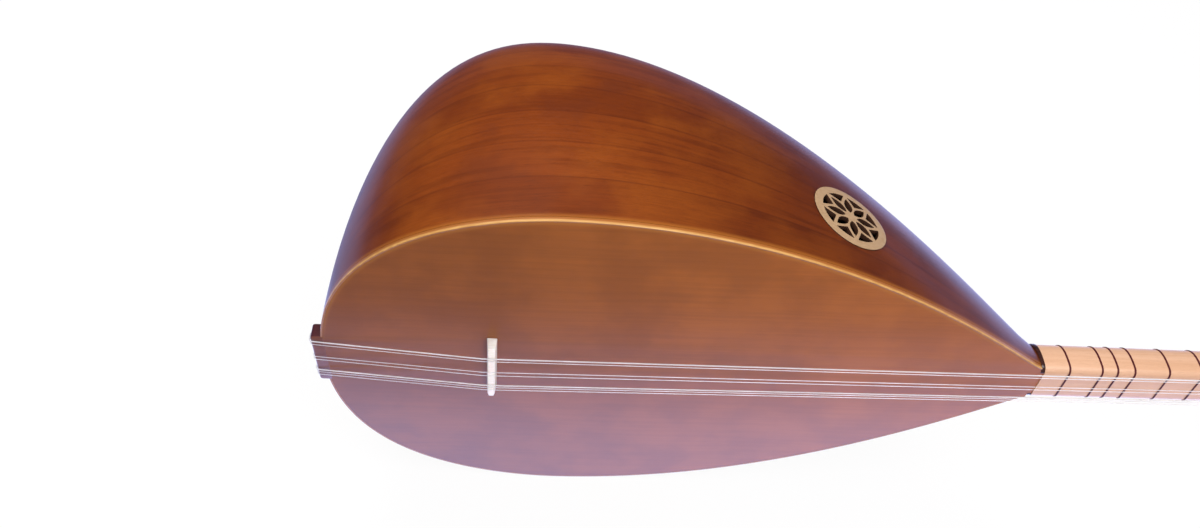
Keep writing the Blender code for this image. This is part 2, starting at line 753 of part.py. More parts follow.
def make_tailpiece():
    """The hardwood block let into the tail, with a small hole for each string in its end.

    Its front layer lies in the plane of the soundboard. Behind that it follows the bowl.
    """
    bass, treble = TAILPIECE_BASS_END, TAILPIECE_TREBLE_END
    corner = TAILPIECE_CORNER
    left = []
    for turn in (180, 135, 90):
        angle = math.radians(turn)
        left.append((corner + corner * math.cos(angle), bass - corner + corner * math.sin(angle)))
    left = [(x - TAILPIECE_OUT, z) for x, z in left]
    below = [(x, bass + treble - z) for x, z in left[::-1]]
    back = np.linspace(bass, treble, 5)
    edge = TAILPIECE_EDGE
    layers = []
    for turn in (0, 45, 90):
        angle = math.radians(turn)
        layers.append((edge * (1 - math.sin(angle)), edge * (1 - math.cos(angle)) - TAILPIECE_PROUD))
    step = BOARD_THICKNESS - GAP
    layers += [(0, step), (0, BOARD_THICKNESS), (0, TAILPIECE_DEPTH)]
    rings = []
    for inset, depth in layers:
        ring = []
        for x, z in below + left:
            ring.append((x + inset, depth, z - math.copysign(inset, z)))
        for z in back:
            seat = tail_seat(abs(z))
            x = TAILPIECE_OVER_BOARD - inset if depth <= step else seat
            ring.append((x, depth, z - math.copysign(inset, z)))
        rings.append(ring)
    block = place("tailpiece", loft("tailpiece", rings), "dark_wood")
    along = Matrix.Rotation(math.radians(90), 4, "Y")
    for course, k, count in string_list():
        across = string_across(TAIL_COURSES, course, k, count)
        radius = string_radius(course, k) + GAP
        hole = cone(f"tail_hole_{course}_{k}", radius, radius, TAIL_HOLE_LENGTH + GAP, 8)
        start = (-TAILPIECE_OUT - GAP, TAIL_HOLE_DEPTH, across)
        guide = place_guide(hole.name, hole, Matrix.Translation(start) @ along)
        combine(block, guide, "DIFFERENCE")


def head_point(along, above, across):
    """A point given along, above and across the tilted face of the head."""
    c, s = math.cos(HEAD_TILT), math.sin(HEAD_TILT)
    return Vector((HEAD_JOINT + along * c + above * s, -FACE_RISE + along * s - above * c, across))


def head_size(along):
    """Half width and thickness of the head."""
    shares = [section[0] * HEAD_LENGTH for section in HEAD_SECTIONS]
    half_width = np.interp(along, shares, [section[1] for section in HEAD_SECTIONS])
    thickness = np.interp(along, shares, [section[2] for section in HEAD_SECTIONS])
    return float(half_width), float(thickness)


def make_head():
    """The head, tilted back, with a tapered hole for each peg."""
    half_width, depth = neck_size(HEAD_JOINT)
    first = []
    for across, down in neck_outline(half_width, depth + FACE_RISE, HEAD_CORNER, NECK_ROUNDNESS, 0):
        along = (GAP + down * math.sin(HEAD_TILT)) / math.cos(HEAD_TILT)
        first.append(head_point(along, -down, across))
    rings = [first]
    for share, half_width, thickness in HEAD_SECTIONS:
        section = neck_outline(half_width, thickness, HEAD_CORNER, HEAD_ROUNDNESS, 0)
        rings.append([head_point(share * HEAD_LENGTH, -down, across) for across, down in section])
    head = place("headstock", loft("headstock", rings), "neck_wood")
    for name, origin, turn, block in peg_places():
        length = block + 4 * PEG_CLEARANCE
        grow = (PEG_CLEARANCE + PEG_TAPER * 2 * PEG_CLEARANCE) / math.cos(math.pi / HOLE_SIDES)
        near = PEG_RADIUS / math.cos(math.pi / HOLE_SIDES) + grow
        hole = cone(f"{name}_hole", near, near - PEG_TAPER * length, length, HOLE_SIDES)
        back = Matrix.Translation((0, 0, 2 * PEG_CLEARANCE - length))
        matrix = Matrix.Translation(origin) @ turn.to_4x4() @ back
        combine(head, place_guide(f"{name}_hole", hole, matrix), "DIFFERENCE")


def peg_places():
    """Name, place, turn and drilled length of each peg, where it enters the head."""
    front_out = head_point(0, 1, 0) - head_point(0, 0, 0)
    along = head_point(1, 0, 0) - head_point(0, 0, 0)
    across = Vector((0, 0, 1))
    front_turn = Matrix((along, front_out.cross(along), front_out)).transposed()
    side_turn = Matrix((along, across.cross(along), across)).transposed()
    places = []
    for number, at in enumerate(SIDE_PEGS_AT, 1):
        half_width = head_size(at)[0]
        origin = head_point(at, -SIDE_PEG_DEPTH, half_width)
        places.append((f"peg_{number}_side", origin, side_turn, 2 * half_width))
    for number, at in enumerate(FRONT_PEGS_AT, len(SIDE_PEGS_AT) + 1):
        thickness = head_size(at)[1]
        places.append((f"peg_{number}_front", head_point(at, 0, 0), front_turn, thickness))
    return places


def peg_mesh(name, block):
    """A tapered shaft with a collar and a T-shaped grip. Z runs out along the peg."""
    end = block + PEG_END
    out = PEG_STANDOFF
    grip = PEG_HANDLE
    # Height, half length and half width of each section
    sections = (
        (-end, PEG_RADIUS - PEG_TAPER * end, PEG_RADIUS - PEG_TAPER * end),
        (0, PEG_RADIUS, PEG_RADIUS),
        (out, PEG_RADIUS, PEG_RADIUS),
        (out + 0.04 * grip, 1.7 * PEG_RADIUS, 1.7 * PEG_RADIUS),
        (out + 0.20 * grip, 1.7 * PEG_RADIUS, 1.7 * PEG_RADIUS),
        (out + 0.30 * grip, 1.1 * PEG_RADIUS, 1.0 * PEG_RADIUS),
        (out + 0.65 * grip, 0.42 * grip, 1.0 * PEG_RADIUS),
        (out + 0.90 * grip, 0.92 * grip, 1.1 * PEG_RADIUS),
        (out + 1.20 * grip, 1.00 * grip, 1.1 * PEG_RADIUS),
        (out + 1.40 * grip, 0.86 * grip, 0.7 * PEG_RADIUS),
    )
    rings = []
    for height, half_length, half_width in sections:
        ring = []
        for k in range(PEG_SIDES):
            angle = 2 * math.pi * k / PEG_SIDES
            ring.append((half_length * math.cos(angle), half_width * math.sin(angle), height))
        rings.append(ring)
    return loft(name, rings)


def make_pegs():
    """The seven pegs. Each turns about its own axis, and none stands quite as the next."""
    step = math.radians(37)
    for number, (name, origin, turn, block) in enumerate(peg_places()):
        standing = turn @ Matrix.Rotation(number * step, 3, "Z")
        place(name, peg_mesh(name, block), "peg_wood", origin, standing)


def winding(centre, axis, start_way, radius, pitch):
    """Turns of wire round a peg, from the point where the string meets it."""
    side = axis.cross(start_way)
    points = []
    for k in range(WINDING_TURNS * WINDING_STEPS + 1):
        angle = 2 * math.pi * k / WINDING_STEPS
        arm = start_way * math.cos(angle) + side * math.sin(angle)
        points.append(centre + arm * radius + axis * (pitch * k / WINDING_STEPS))
    return points


def tangent_way(from_point, centre, axis, radius):
    """Direction from the peg's axis to where a string from a point first touches its turns."""
    flat = from_point - centre
    flat -= axis * flat.dot(axis)
    lead = math.acos(radius / flat.length)
    return (Matrix.Rotation(lead, 3, axis) @ flat).normalized()


def string_route(index):
    """The whole run of one string, from its hole in the tail to its last turn on the peg."""
    course, k, count = string_list()[index]
    radius = string_radius(course, k)
    clear = GAP + radius
    tail_z = string_across(TAIL_COURSES, course, k, count)
    bridge_z = string_across(BRIDGE_COURSES, course, k, count)
    nut_z = string_across(NUT_COURSES, course, k, count)
    edge = -TAILPIECE_OUT
    bend = TAILPIECE_EDGE + clear
    points = [
        Vector((edge + TAIL_HOLE_LENGTH - GAP, TAIL_HOLE_DEPTH, tail_z)),
        Vector((edge - 0.4 * clear, TAIL_HOLE_DEPTH, tail_z)),
        Vector((edge - clear, TAIL_HOLE_DEPTH - clear, tail_z)),
    ]
    for angle in (0, 30, 60, 86):
        turn = math.radians(angle)
        points.append(Vector((
            edge + TAILPIECE_EDGE - bend * math.cos(turn),
            TAILPIECE_EDGE - TAILPIECE_PROUD - bend * math.sin(turn),
            tail_z,
        )))
    # Flat over the bridge for as far as the bridge can be pushed
    slant = (BRIDGE_BASS_END + BRIDGE_TREBLE_END) / 2 - bridge_z
    crest = BRIDGE_AT - slant * math.tan(BRIDGE_SLANT)
    flat = BRIDGE_TOP / 2 + BRIDGE_TRAVEL
    height = BRIDGE_HEIGHT + clear
    points.append(Vector((crest - flat, -height, bridge_z)))
    points.append(Vector((crest + flat, -height, bridge_z)))
    nut_height = NUT_HEIGHT + clear
    points.append(Vector((NUT_AT, -nut_height, nut_z)))
    points.append(Vector((HEAD_JOINT, -nut_height, nut_z)))
    return points + peg_route(index, points[-1], radius)


def peg_route(index, start, radius):
    """From the nut to the peg and round it."""
    name, origin, turn, _ = peg_places()[index]
    axis = turn.col[2].copy()
    turns_radius = (PEG_RADIUS + GAP + radius) / math.cos(math.pi / WINDING_STEPS)
    pitch = 2 * radius + WINDING_SPACE
    centre = origin + axis * WINDING_START
    points = []
    if index < len(SIDE_PEGS_AT):
        # Over the rounded front edge of the head and down to the side peg
        at = SIDE_PEGS_AT[index] * EDGE_SHARE
        half_width = head_size(at)[0]
        bend = HEAD_CORNER + GAP + radius
        for angle, ahead in ((75, -bend), (45, 0), (15, bend)):
            lean = math.radians(angle)
            above = bend * math.sin(lean) - HEAD_CORNER
            across = half_width - HEAD_CORNER + bend * math.cos(lean)
            points.append(head_point(at + ahead, above, across))
    last = points[-1] if points else start
    way = tangent_way(last, centre, axis, turns_radius)
    return points + winding(centre, axis, way, turns_radius, pitch)


def least_gap(points, diameter):
    """Least clear space between turns of one winding."""
    turns = np.array(points[-(WINDING_TURNS * WINDING_STEPS + 1):])
    least = math.inf
    for k in range(len(turns) - WINDING_STEPS + 1):
        later = turns[k + WINDING_STEPS - 1:]
        least = min(least, float(np.linalg.norm(later - turns[k], axis=1).min()))
    return least - diameter


def make_strings():
    """The seven strings, each one unbroken wire from the tail to its peg."""
    for index, (course, k, _) in enumerate(string_list()):
        radius = string_radius(course, k)
        route = string_route(index)
        name = f"string_{index + 1}"
        curve = bpy.data.curves.new(name, "CURVE")
        curve.dimensions = "3D"
        curve.bevel_depth = radius
        curve.bevel_resolution = 1
        curve.use_fill_caps = True
        spline = curve.splines.new("POLY")
        spline.points.add(len(route) - 1)
        for slot, point in zip(spline.points, route):
            slot.co = (*point, 1)
        wound = 2 * radius == WOUND_DIAMETER
        place(name, curve, "wound_wire" if wound else "steel_wire")
        gap = least_gap(route, 2 * radius) * 1000
        print(f"{name}: least gap between its turns {gap:.2f} mm")


def seat_on_origin():
    """Carry the saz to the middle of its footprint, with its lowest point at zero."""
    bpy.context.view_layer.update()
    depsgraph = bpy.context.evaluated_depsgraph_get()
    corners = []
    for piece in PIECES.objects:
        if piece.type == "EMPTY":
            continue
        shape = piece.evaluated_get(depsgraph).to_mesh()
        points = np.empty(len(shape.vertices) * 3)
        shape.vertices.foreach_get("co", points)
        matrix = np.array(piece.matrix_world)
        world = points.reshape(-1, 3) @ matrix[:3, :3].T + matrix[:3, 3]
        corners += [world.min(axis=0), world.max(axis=0)]
        piece.evaluated_get(depsgraph).to_mesh_clear()
    low, high = np.min(corners, axis=0), np.max(corners, axis=0)
    CARRIER.location = (-(low[0] + high[0]) / 2, -(low[1] + high[1]) / 2, -low[2])
    print("size in mm", [round(float(v) * 1000, 1) for v in high - low])
    print("tail end of the soundboard in mm", [round(float(v) * 1000, 4) for v in CARRIER.location])


staves = make_bowl()
make_rosette(staves[1])
make_soundboard()
make_blocks()
make_joint_ring()
make_neck()
make_nut()
make_frets()
make_bridge()
make_tailpiece()
make_head()
make_pegs()
make_strings()
seat_on_origin()
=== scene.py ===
# %% [markdown]
# # A short-necked saz, dressed piece by piece
# The imported model gives the real places of every piece. This lesson puts a finer piece over
# each plain solid that shows, and gives each its wood, bone, cord or wire. We start by loading
# the frame.

# %% Load the frame
import json
import math

import bmesh
import bpy
import numpy as np
from mathutils import Matrix, Vector
from mathutils.geometry import interpolate_bezier


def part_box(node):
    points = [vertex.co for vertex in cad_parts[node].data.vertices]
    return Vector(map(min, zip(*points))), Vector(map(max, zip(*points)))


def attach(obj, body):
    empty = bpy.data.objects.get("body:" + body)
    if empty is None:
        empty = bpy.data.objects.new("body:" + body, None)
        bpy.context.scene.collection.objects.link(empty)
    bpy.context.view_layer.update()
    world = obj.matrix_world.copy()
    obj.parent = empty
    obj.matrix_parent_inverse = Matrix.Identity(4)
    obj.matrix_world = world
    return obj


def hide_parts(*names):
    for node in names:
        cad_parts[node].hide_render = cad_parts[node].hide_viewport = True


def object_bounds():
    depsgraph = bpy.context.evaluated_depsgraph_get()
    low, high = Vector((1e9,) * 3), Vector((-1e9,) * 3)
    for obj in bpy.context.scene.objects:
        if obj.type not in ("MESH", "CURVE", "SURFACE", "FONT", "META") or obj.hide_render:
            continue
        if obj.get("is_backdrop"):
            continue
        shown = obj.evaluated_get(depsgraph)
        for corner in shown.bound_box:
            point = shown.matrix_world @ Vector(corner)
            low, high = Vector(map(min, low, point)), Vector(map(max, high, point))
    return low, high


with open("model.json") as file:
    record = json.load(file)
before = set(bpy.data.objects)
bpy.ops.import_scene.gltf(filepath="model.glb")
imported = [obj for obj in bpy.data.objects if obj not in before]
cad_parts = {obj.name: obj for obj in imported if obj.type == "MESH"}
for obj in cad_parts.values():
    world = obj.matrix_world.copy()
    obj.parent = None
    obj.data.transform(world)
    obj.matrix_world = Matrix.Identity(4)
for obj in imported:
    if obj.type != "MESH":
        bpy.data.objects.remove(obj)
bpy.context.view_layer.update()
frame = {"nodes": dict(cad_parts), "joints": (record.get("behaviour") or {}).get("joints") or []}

# %% [markdown]
# Every piece is modelled from one point: the tail end of the soundboard, in the plane of its
# face. X runs to the head, Y into the bowl and Z to the bass side. The frame says where that
# point is in the world, and one matrix carries each finished mesh there.

# %% Home
board_low, board_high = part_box("soundboard")
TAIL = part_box("stave_01")[0].x
FACE = board_low.y
MIDDLE = (board_low.z + board_high.z) / 2
HOME = Matrix.Translation((TAIL, FACE, MIDDLE))
JOINTS = {joint["name"]: joint for joint in frame["joints"]}
print("home is at", [round(v, 4) for v in HOME.translation])

# %% [markdown]
# ## The camera
# The photograph looks down on the saz from in front of its face. A camera needs a place and
# three directions. Blender's camera looks along its own -Z, so the view direction is turned
# round for the third column.

# %% Camera
CAMERA_AT = Vector((0.1361, -0.3703, 0.5468))
VIEW = Vector((0.0345, 0.6353, -0.7715)).normalized()
RIGHT = Vector((0.9988, 0.0048, 0.0487)).normalized()
LENS = 33.7


def add_object(name, data):
    """Put an object into the scene."""
    made = bpy.data.objects.new(name, data)
    bpy.context.scene.collection.objects.link(made)
    return made


up = RIGHT.cross(VIEW).normalized()
turn = Matrix((VIEW.cross(up), up, -VIEW)).transposed()
camera = add_object("camera", bpy.data.cameras.new("camera"))
camera.data.lens = LENS
camera.data.clip_start = 0.01
camera.matrix_world = HOME @ Matrix.Translation(CAMERA_AT) @ turn.to_4x4()
bpy.context.scene.camera = camera
bpy.context.scene.view_settings.view_transform = "Standard"
print("the camera stands at", [round(v, 3) for v in camera.matrix_world.translation])

# %% [markdown]
# ## Helpers for materials
# A shader is a small tree of nodes. The first helper adds one node, sets its options, and fills
# or links its inputs in the same call. The others use it: to blend, to stretch a value, to
# calculate, and to lay one colour after another over the wood.

# %% One node in one line
def fill(tree, node, inputs):
    """Fill a node's inputs. Each is a value, or the output of another node."""
    for key, value in inputs.items():
        if isinstance(value, bpy.types.NodeSocket):
            tree.links.new(value, node.inputs[key])
        else:
            node.inputs[key].default_value = value


def put(tree, kind, inputs=None, **options):
    """Add a node, set its options and fill its inputs. Its outputs come back."""
    made = tree.nodes.new("ShaderNode" + kind)
    for name, value in options.items():
        setattr(made, name, value)
    fill(tree, made, inputs or {})
    return made.outputs


def mix(tree, share, first, second, blend="MIX"):
    """Blend two colours by a share from 0 to 1."""
    inputs = {0: share}
    for slot, value in ((6, first), (7, second)):
        inputs[slot] = value if isinstance(value, bpy.types.NodeSocket) else (*value, 1.0)
    return put(tree, "Mix", inputs, data_type="RGBA", blend_type=blend)[2]


def ramp(tree, value, low, high, start=0.0, end=1.0):
    """Stretch low..high to start..end, and hold it there outside."""
    inputs = {"Value": value, "From Min": low, "From Max": high, "To Min": start, "To Max": end}
    return put(tree, "MapRange", inputs, interpolation_type="SMOOTHSTEP")["Result"]


def calc(tree, operation, first, second=0.5, kind="Math"):
    """The result of one calculation, with numbers or with vectors."""
    return put(tree, kind, {0: first, 1: second}, operation=operation)[0]


def along_way(tree, vector, way):
    """How far a vector points along a way."""
    return put(tree, "VectorMath", {0: vector, 1: way}, operation="DOT_PRODUCT")["Value"]


def here(tree):
    """Where the surface is, in metres."""
    return put(tree, "TexCoord")["Object"]


def split(tree, place):
    """The X, Y and Z of a place."""
    return put(tree, "SeparateXYZ", {0: place})


def noise(tree, place, scale, detail, roughness=0.5):
    """Cloudy values from 0 to 1."""
    inputs = {"Vector": place, "Scale": scale, "Detail": detail, "Roughness": roughness}
    return put(tree, "TexNoise", inputs)["Fac"]


def cover(tree, colour, *layers):
    """Lay colours over the first. A layer is (value, none at, most at, most, colour)."""
    for value, none_at, most_at, most, shade in layers:
        colour = mix(tree, ramp(tree, value, none_at, most_at, 0.0, most), colour, shade)
    return colour


def new_material(name):
    """A material with a Principled shader, and its tree."""
    material = bpy.data.materials.new(name)
    material.use_nodes = True
    tree = material.node_tree
    return material, tree, tree.nodes["Principled BSDF"]


print("helpers for materials are ready")

# %% [markdown]
# Wood is long fibres, seen from the side. Noise that is stretched along the grain gives
# streaks, a finer and shorter one gives pores, and a slow one gives the cloudy patches that
# stain leaves. Many woods here need it, so it is a node group: built once, used with other
# lengths and widths. Its vector is in metres, with X along the grain.

# %% The grain group
def grain_group():
    group = bpy.data.node_groups.new("wood grain", "ShaderNodeTree")
    face = group.interface
    face.new_socket("Vector", in_out="INPUT", socket_type="NodeSocketVector")
    for name in ("Length", "Width"):
        face.new_socket(name, in_out="INPUT", socket_type="NodeSocketFloat")
    for name in ("Streaks", "Fibres", "Pores", "Clouds", "Height"):
        face.new_socket(name, in_out="OUTPUT", socket_type="NodeSocketFloat")
    start = group.nodes.new("NodeGroupInput").outputs
    wander = put(group, "TexNoise", {"Vector": start["Vector"], "Scale": 9.0, "Detail": 1.0})["Color"]
    shift = calc(group, "SUBTRACT", wander, (0.5, 0.5, 0.5), "VectorMath")
    small = calc(group, "MULTIPLY", shift, (0.0, 0.006, 0.006), "VectorMath")
    bent = calc(group, "ADD", start["Vector"], small, "VectorMath")

    def layer(length_share, width_share, detail, roughness, low, high):
        length = calc(group, "MULTIPLY", start["Length"], length_share)
        width = calc(group, "MULTIPLY", start["Width"], width_share)
        size = put(group, "CombineXYZ", {"X": length, "Y": width, "Z": width})[0]
        cells = calc(group, "DIVIDE", bent, size, "VectorMath")
        return ramp(group, noise(group, cells, 1.0, detail, roughness), low, high)

    made = {
        "Streaks": layer(1.0, 1.0, 4.0, 0.6, 0.3, 0.7),
        "Fibres": layer(0.22, 0.09, 3.0, 0.6, 0.3, 0.7),
        "Pores": layer(0.05, 0.045, 1.0, 0.5, 0.60, 0.72),
        "Clouds": layer(0.9, 7.0, 2.0, 0.5, 0.3, 0.7),
    }
    made["Height"] = calc(group, "SUBTRACT", made["Fibres"], made["Pores"])
    fill(group, group.nodes.new("NodeGroupOutput"), made)
    return group


GRAIN = grain_group()


def grain(tree, vector, length, width):
    """Place the grain group in a material."""
    inputs = {"Vector": vector, "Length": length, "Width": width}
    return put(tree, "Group", inputs, node_tree=GRAIN)


def raise_surface(tree, shader, height, distance, strength=0.3):
    """Bump the surface by a height, over a distance in metres."""
    bump = put(tree, "Bump", {"Height": height, "Distance": distance, "Strength": strength})
    fill(tree, shader, {"Normal": bump["Normal"]})


def finish(tree, shader, colour, height, depth, gloss, specular=0.5):
    """Colour, relief and lacquer. gloss is (roughness, coat, coat roughness)."""
    fill(tree, shader, {"Base Color": colour, "Specular IOR Level": specular})
    fill(tree, shader, dict(zip(("Roughness", "Coat Weight", "Coat Roughness"), gloss)))
    raise_surface(tree, shader, height, depth)


print("the grain group has", len(GRAIN.nodes), "nodes")

# %% [markdown]
# ## The woods
# The bowl is mahogany, stained red-brown. Each strip was cut from its own board, so each has
# its own tone: its UV map keeps the strips five centimetres apart, and a white noise on the
# rounded value gives one number for each strip. A "seam" attribute holds the distance to the
# nearest glue line, which is darker. Painted shade makes the wood darker towards both ends.
# Close behind the face it is sanded to an orange-gold rim.

# %% Bowl wood
STRIP_SPACING = 0.05
BOARD_THICKNESS = 0.0032


def bowl_wood():
    material, tree, shader = new_material("mahogany")
    uv = put(tree, "UVMap", uv_map="grain")["UV"]
    lines = grain(tree, uv, 0.10, 0.0045)
    number = calc(tree, "FLOOR", calc(tree, "DIVIDE", split(tree, uv)["Y"], STRIP_SPACING))
    tone = put(tree, "TexWhiteNoise", {"W": number}, noise_dimensions="1D")["Value"]
    place = here(tree)
    patches = noise(tree, place, 17.0, 3.0, 0.6)
    seam = put(tree, "Attribute", attribute_name="seam")["Fac"]
    colour = cover(
        tree, mix(tree, tone, (0.148, 0.027, 0.0028), (0.195, 0.038, 0.0032)),
        (lines["Streaks"], 0.35, 1.0, 0.50, (0.100, 0.018, 0.0025)),
        (patches, 0.42, 0.66, 0.75, (0.240, 0.055, 0.0040)),
        (patches, 0.44, 0.30, 0.5, (0.110, 0.022, 0.0070)),
        (lines["Fibres"], 0.0, 1.0, 0.26, (0.080, 0.014, 0.0020)),
        (lines["Pores"], 0.0, 1.0, 0.45, (0.050, 0.009, 0.0015)),
        (seam, 0.0010, 0.0, 0.40, (0.070, 0.012, 0.0030)),
    )
    along, behind, _ = split(tree, place)
    # Painted shade, darker towards the neck and the tail: where it starts, where it is full, its tint
    for start, full, painted_light_and_shade in (
        (0.12, 0.29, (0.62, 0.58, 0.58)),
        (0.07, 0.01, (0.75, 0.72, 0.72)),
    ):
        share = ramp(tree, along, TAIL + start, TAIL + full)
        colour = mix(tree, share, colour, painted_light_and_shade, "MULTIPLY")
    rim_at = FACE + BOARD_THICKNESS
    rim = (behind, rim_at + 0.0030, rim_at + 0.0002, 0.60, (0.320, 0.105, 0.014))
    colour = cover(tree, colour, rim)
    finish(tree, shader, colour, lines["Height"], 0.00004, (0.42, 0.5, 0.16), 0.3)
    return material


BOWL_WOOD = bowl_wood()
print("made", BOWL_WOOD.name)

# %% [markdown]
# The soundboard is spruce with straight, even grain. Its brown stain is cloudy. A painted
# reflection makes it lighter towards the neck, and painted shade makes it darker at the tail.
# It is rubbed thinner along the bass edge, and the treble edge is darker. The "rim"
# attribute holds the distance to the edge.

# %% Soundboard wood
def board_wood():
    material, tree, shader = new_material("stained spruce")
    along, _, across = split(tree, here(tree))
    flat = put(tree, "CombineXYZ", {"X": along, "Y": across})[0]
    lines = grain(tree, flat, 0.14, 0.0030)
    cloud = ramp(tree, noise(tree, flat, 24.0, 3.0, 0.55), 0.36, 0.64)
    colour = cover(
        tree, mix(tree, cloud, (0.222, 0.067, 0.011), (0.276, 0.085, 0.014)),
        (lines["Clouds"], 0.0, 1.0, 0.25, (0.210, 0.066, 0.016)),
        (lines["Streaks"], 0.2, 1.0, 0.16, (0.120, 0.036, 0.009)),
        (lines["Fibres"], 0.0, 1.0, 0.12, (0.110, 0.034, 0.009)),
    )
    # Painted light: lighter towards the neck as a painted reflection, darker at the tail as painted shade
    painted_haze_to_neck = ramp(tree, along, TAIL + 0.02, TAIL + 0.36)
    painted_light_and_shade = mix(tree, painted_haze_to_neck, (0.82, 0.78, 0.70), (1.20, 1.16, 1.10))
    colour = mix(tree, 1.0, colour, painted_light_and_shade, "MULTIPLY")
    rim = put(tree, "Attribute", attribute_name="rim")["Fac"]
    # Bass rim and treble rim: width, strength, where its side starts and is full, colour
    for width, most, start, full, shade in (
        (0.0030, 0.40, 0.01, 0.05, (0.360, 0.150, 0.028)),
        (0.0018, 0.50, -0.02, -0.06, (0.110, 0.045, 0.030)),
    ):
        side = ramp(tree, across, MIDDLE + start, MIDDLE + full)
        share = calc(tree, "MULTIPLY", ramp(tree, rim, width, 0.0, 0.0, most), side)
        colour = mix(tree, share, colour, shade)
    finish(tree, shader, colour, lines["Height"], 0.00003, (0.42, 0.55, 0.185), 0.12)
    return material


BOARD_WOOD = board_wood()
print("made", BOARD_WOOD.name)

# %% [markdown]
# The strip along the edge of the soundboard is pale gold where it faces the bass side. Its
# front and its treble side carry the board's stain, so the colour follows the way that the
# surface faces.

# %% Edge wood
def edge_wood():
    material, tree, shader = new_material("gold edge wood")
    place = here(tree)
    lines = grain(tree, place, 0.08, 0.002)
    gold = mix(tree, lines["Streaks"], (0.560, 0.310, 0.100), (0.450, 0.220, 0.060))
    behind = split(tree, place)["Y"]
    gold = cover(tree, gold, (behind, FACE + 0.0007, FACE + 0.0020, 1.0, (0.300, 0.100, 0.018)))
    stain = mix(tree, lines["Streaks"], (0.330, 0.130, 0.030), (0.240, 0.090, 0.026))
    facing = split(tree, put(tree, "NewGeometry")["True Normal"])["Z"]
    colour = mix(tree, ramp(tree, facing, -0.05, 0.45), stain, gold)
    finish(tree, shader, colour, lines["Height"], 0.00002, (0.40, 0.5, 0.25))
    return material


EDGE_WOOD = edge_wood()
print("made", EDGE_WOOD.name)

# %% [markdown]
# The other woods differ only in their colours, the size of their grain and their gloss. One
# function makes them all. The name of the record's material slot picks the values.

# %% Plain woods
# Light and dark colour, length and width of the grain, roughness, coat
PLAIN_WOODS = {
    "inner_wood": ((0.50, 0.34, 0.19), (0.36, 0.22, 0.11), 0.07, 0.003, 0.75, 0.0),
    "rosette_wood": ((0.39, 0.262, 0.152), (0.31, 0.195, 0.105), 0.03, 0.0012, 0.45, 0.2),
    "dark_wood": ((0.060, 0.020, 0.014), (0.022, 0.008, 0.008), 0.03, 0.0012, 0.36, 0.5),
    "neck_wood": ((0.615, 0.380, 0.255), (0.540, 0.312, 0.190), 0.11, 0.0028, 0.42, 0.4),
    "peg_wood": ((0.100, 0.034, 0.018), (0.040, 0.013, 0.009), 0.02, 0.0010, 0.34, 0.5),
    "tail_wood": ((0.190, 0.064, 0.040), (0.120, 0.038, 0.026), 0.03, 0.0012, 0.40, 0.4),
}

# Faces that look away from a direction are darker: on the rosette this is painted shade on its cut walls,
# on the tail block stained end grain
TURNED_AWAY = {
    # The rosette's cut walls: painted shade, near black, as if in the shadow of the openings
    "rosette_wood": ((0.20, 0.18, 0.96), 0.55, (0.045, 0.020, 0.012)),
    "tail_wood": ((0.0, -1.0, -0.2), 0.30, (0.060, 0.014, 0.018)),
}


def plain_wood(name):
    light, dark, length, width, roughness, coat = PLAIN_WOODS[name]
    material, tree, shader = new_material(name.replace("_", " "))
    lines = grain(tree, here(tree), length, width)
    middle = [(a + b) / 2 for a, b in zip(light, dark)]
    pore = [0.45 * value for value in dark]
    colour = cover(
        tree, mix(tree, lines["Streaks"], light, dark),
        (lines["Fibres"], 0.0, 1.0, 0.25, dark),
        (lines["Clouds"], 0.2, 1.0, 0.4, middle),
        (lines["Pores"], 0.0, 1.0, 0.35, pore),
    )
    if name in TURNED_AWAY:
        way, level, shade = TURNED_AWAY[name]
        facing = along_way(tree, put(tree, "NewGeometry")["True Normal"], way)
        colour = cover(tree, colour, (facing, level + 0.2, level, 1.0, shade))
    finish(tree, shader, colour, lines["Height"], 0.00003, (roughness, coat, 0.25), 0.3)
    return material


WOODS = {name: plain_wood(name) for name in PLAIN_WOODS}
print("made", sorted(WOODS))

# %% [markdown]
# ## Bone, cord and wire
# Bone is nearly white, with faint short lines. The frets are nylon cord, so their material has
# a fine twist. Steel strings are a clean metal with faint spots. A wound string carries a thin
# wire around its core: a wave along X at the wire's own spacing raises the turns.

# %% Bone, cord and wire
NO_COAT = (0.0, 0.03)


def bone():
    material, tree, shader = new_material("polished bone")
    lines = grain(tree, here(tree), 0.004, 0.0008)
    colour = mix(tree, lines["Streaks"], (0.78, 0.74, 0.72), (0.71, 0.66, 0.62))
    colour = cover(tree, colour, (lines["Pores"], 0.0, 1.0, 0.3, (0.55, 0.48, 0.38)))
    fill(tree, shader, {"Subsurface Weight": 0.15, "Subsurface Scale": 0.001})
    finish(tree, shader, colour, lines["Height"], 0.00002, (0.36, *NO_COAT))
    return material


def cord():
    material, tree, shader = new_material("maroon cord")
    turned = put(tree, "Mapping", {"Vector": here(tree), "Rotation": (0.6, 0.5, 0.0)})[0]
    twist = put(tree, "TexWave", {"Vector": turned, "Scale": 900.0, "Distortion": 1.0})["Fac"]
    colour = mix(tree, twist, (0.050, 0.007, 0.010), (0.120, 0.018, 0.024))
    finish(tree, shader, colour, twist, 0.00005, (0.48, *NO_COAT), 0.3)
    return material


def wire(name, colour, turns_per_metre):
    """Drawn wire, or wound wire where a number of turns is given."""
    material, tree, shader = new_material(name)
    place = here(tree)
    spots = noise(tree, place, 60.0, 2.0)
    shade = [0.88 * value for value in colour]
    fill(tree, shader, {
        "Base Color": mix(tree, ramp(tree, spots, 0.3, 0.7), colour, shade),
        "Roughness": ramp(tree, spots, 0.3, 0.7, 0.34, 0.46),
        "Metallic": 0.4,
    })
    if turns_per_metre:
        # A wave node's bands repeat every 2 pi / 20 at a scale of one
        scale = turns_per_metre * math.pi / 10
        turns = put(tree, "TexWave", {"Vector": place, "Scale": scale}, bands_direction="X")
        raise_surface(tree, shader, turns["Fac"], 0.00006, 0.8)
    return material


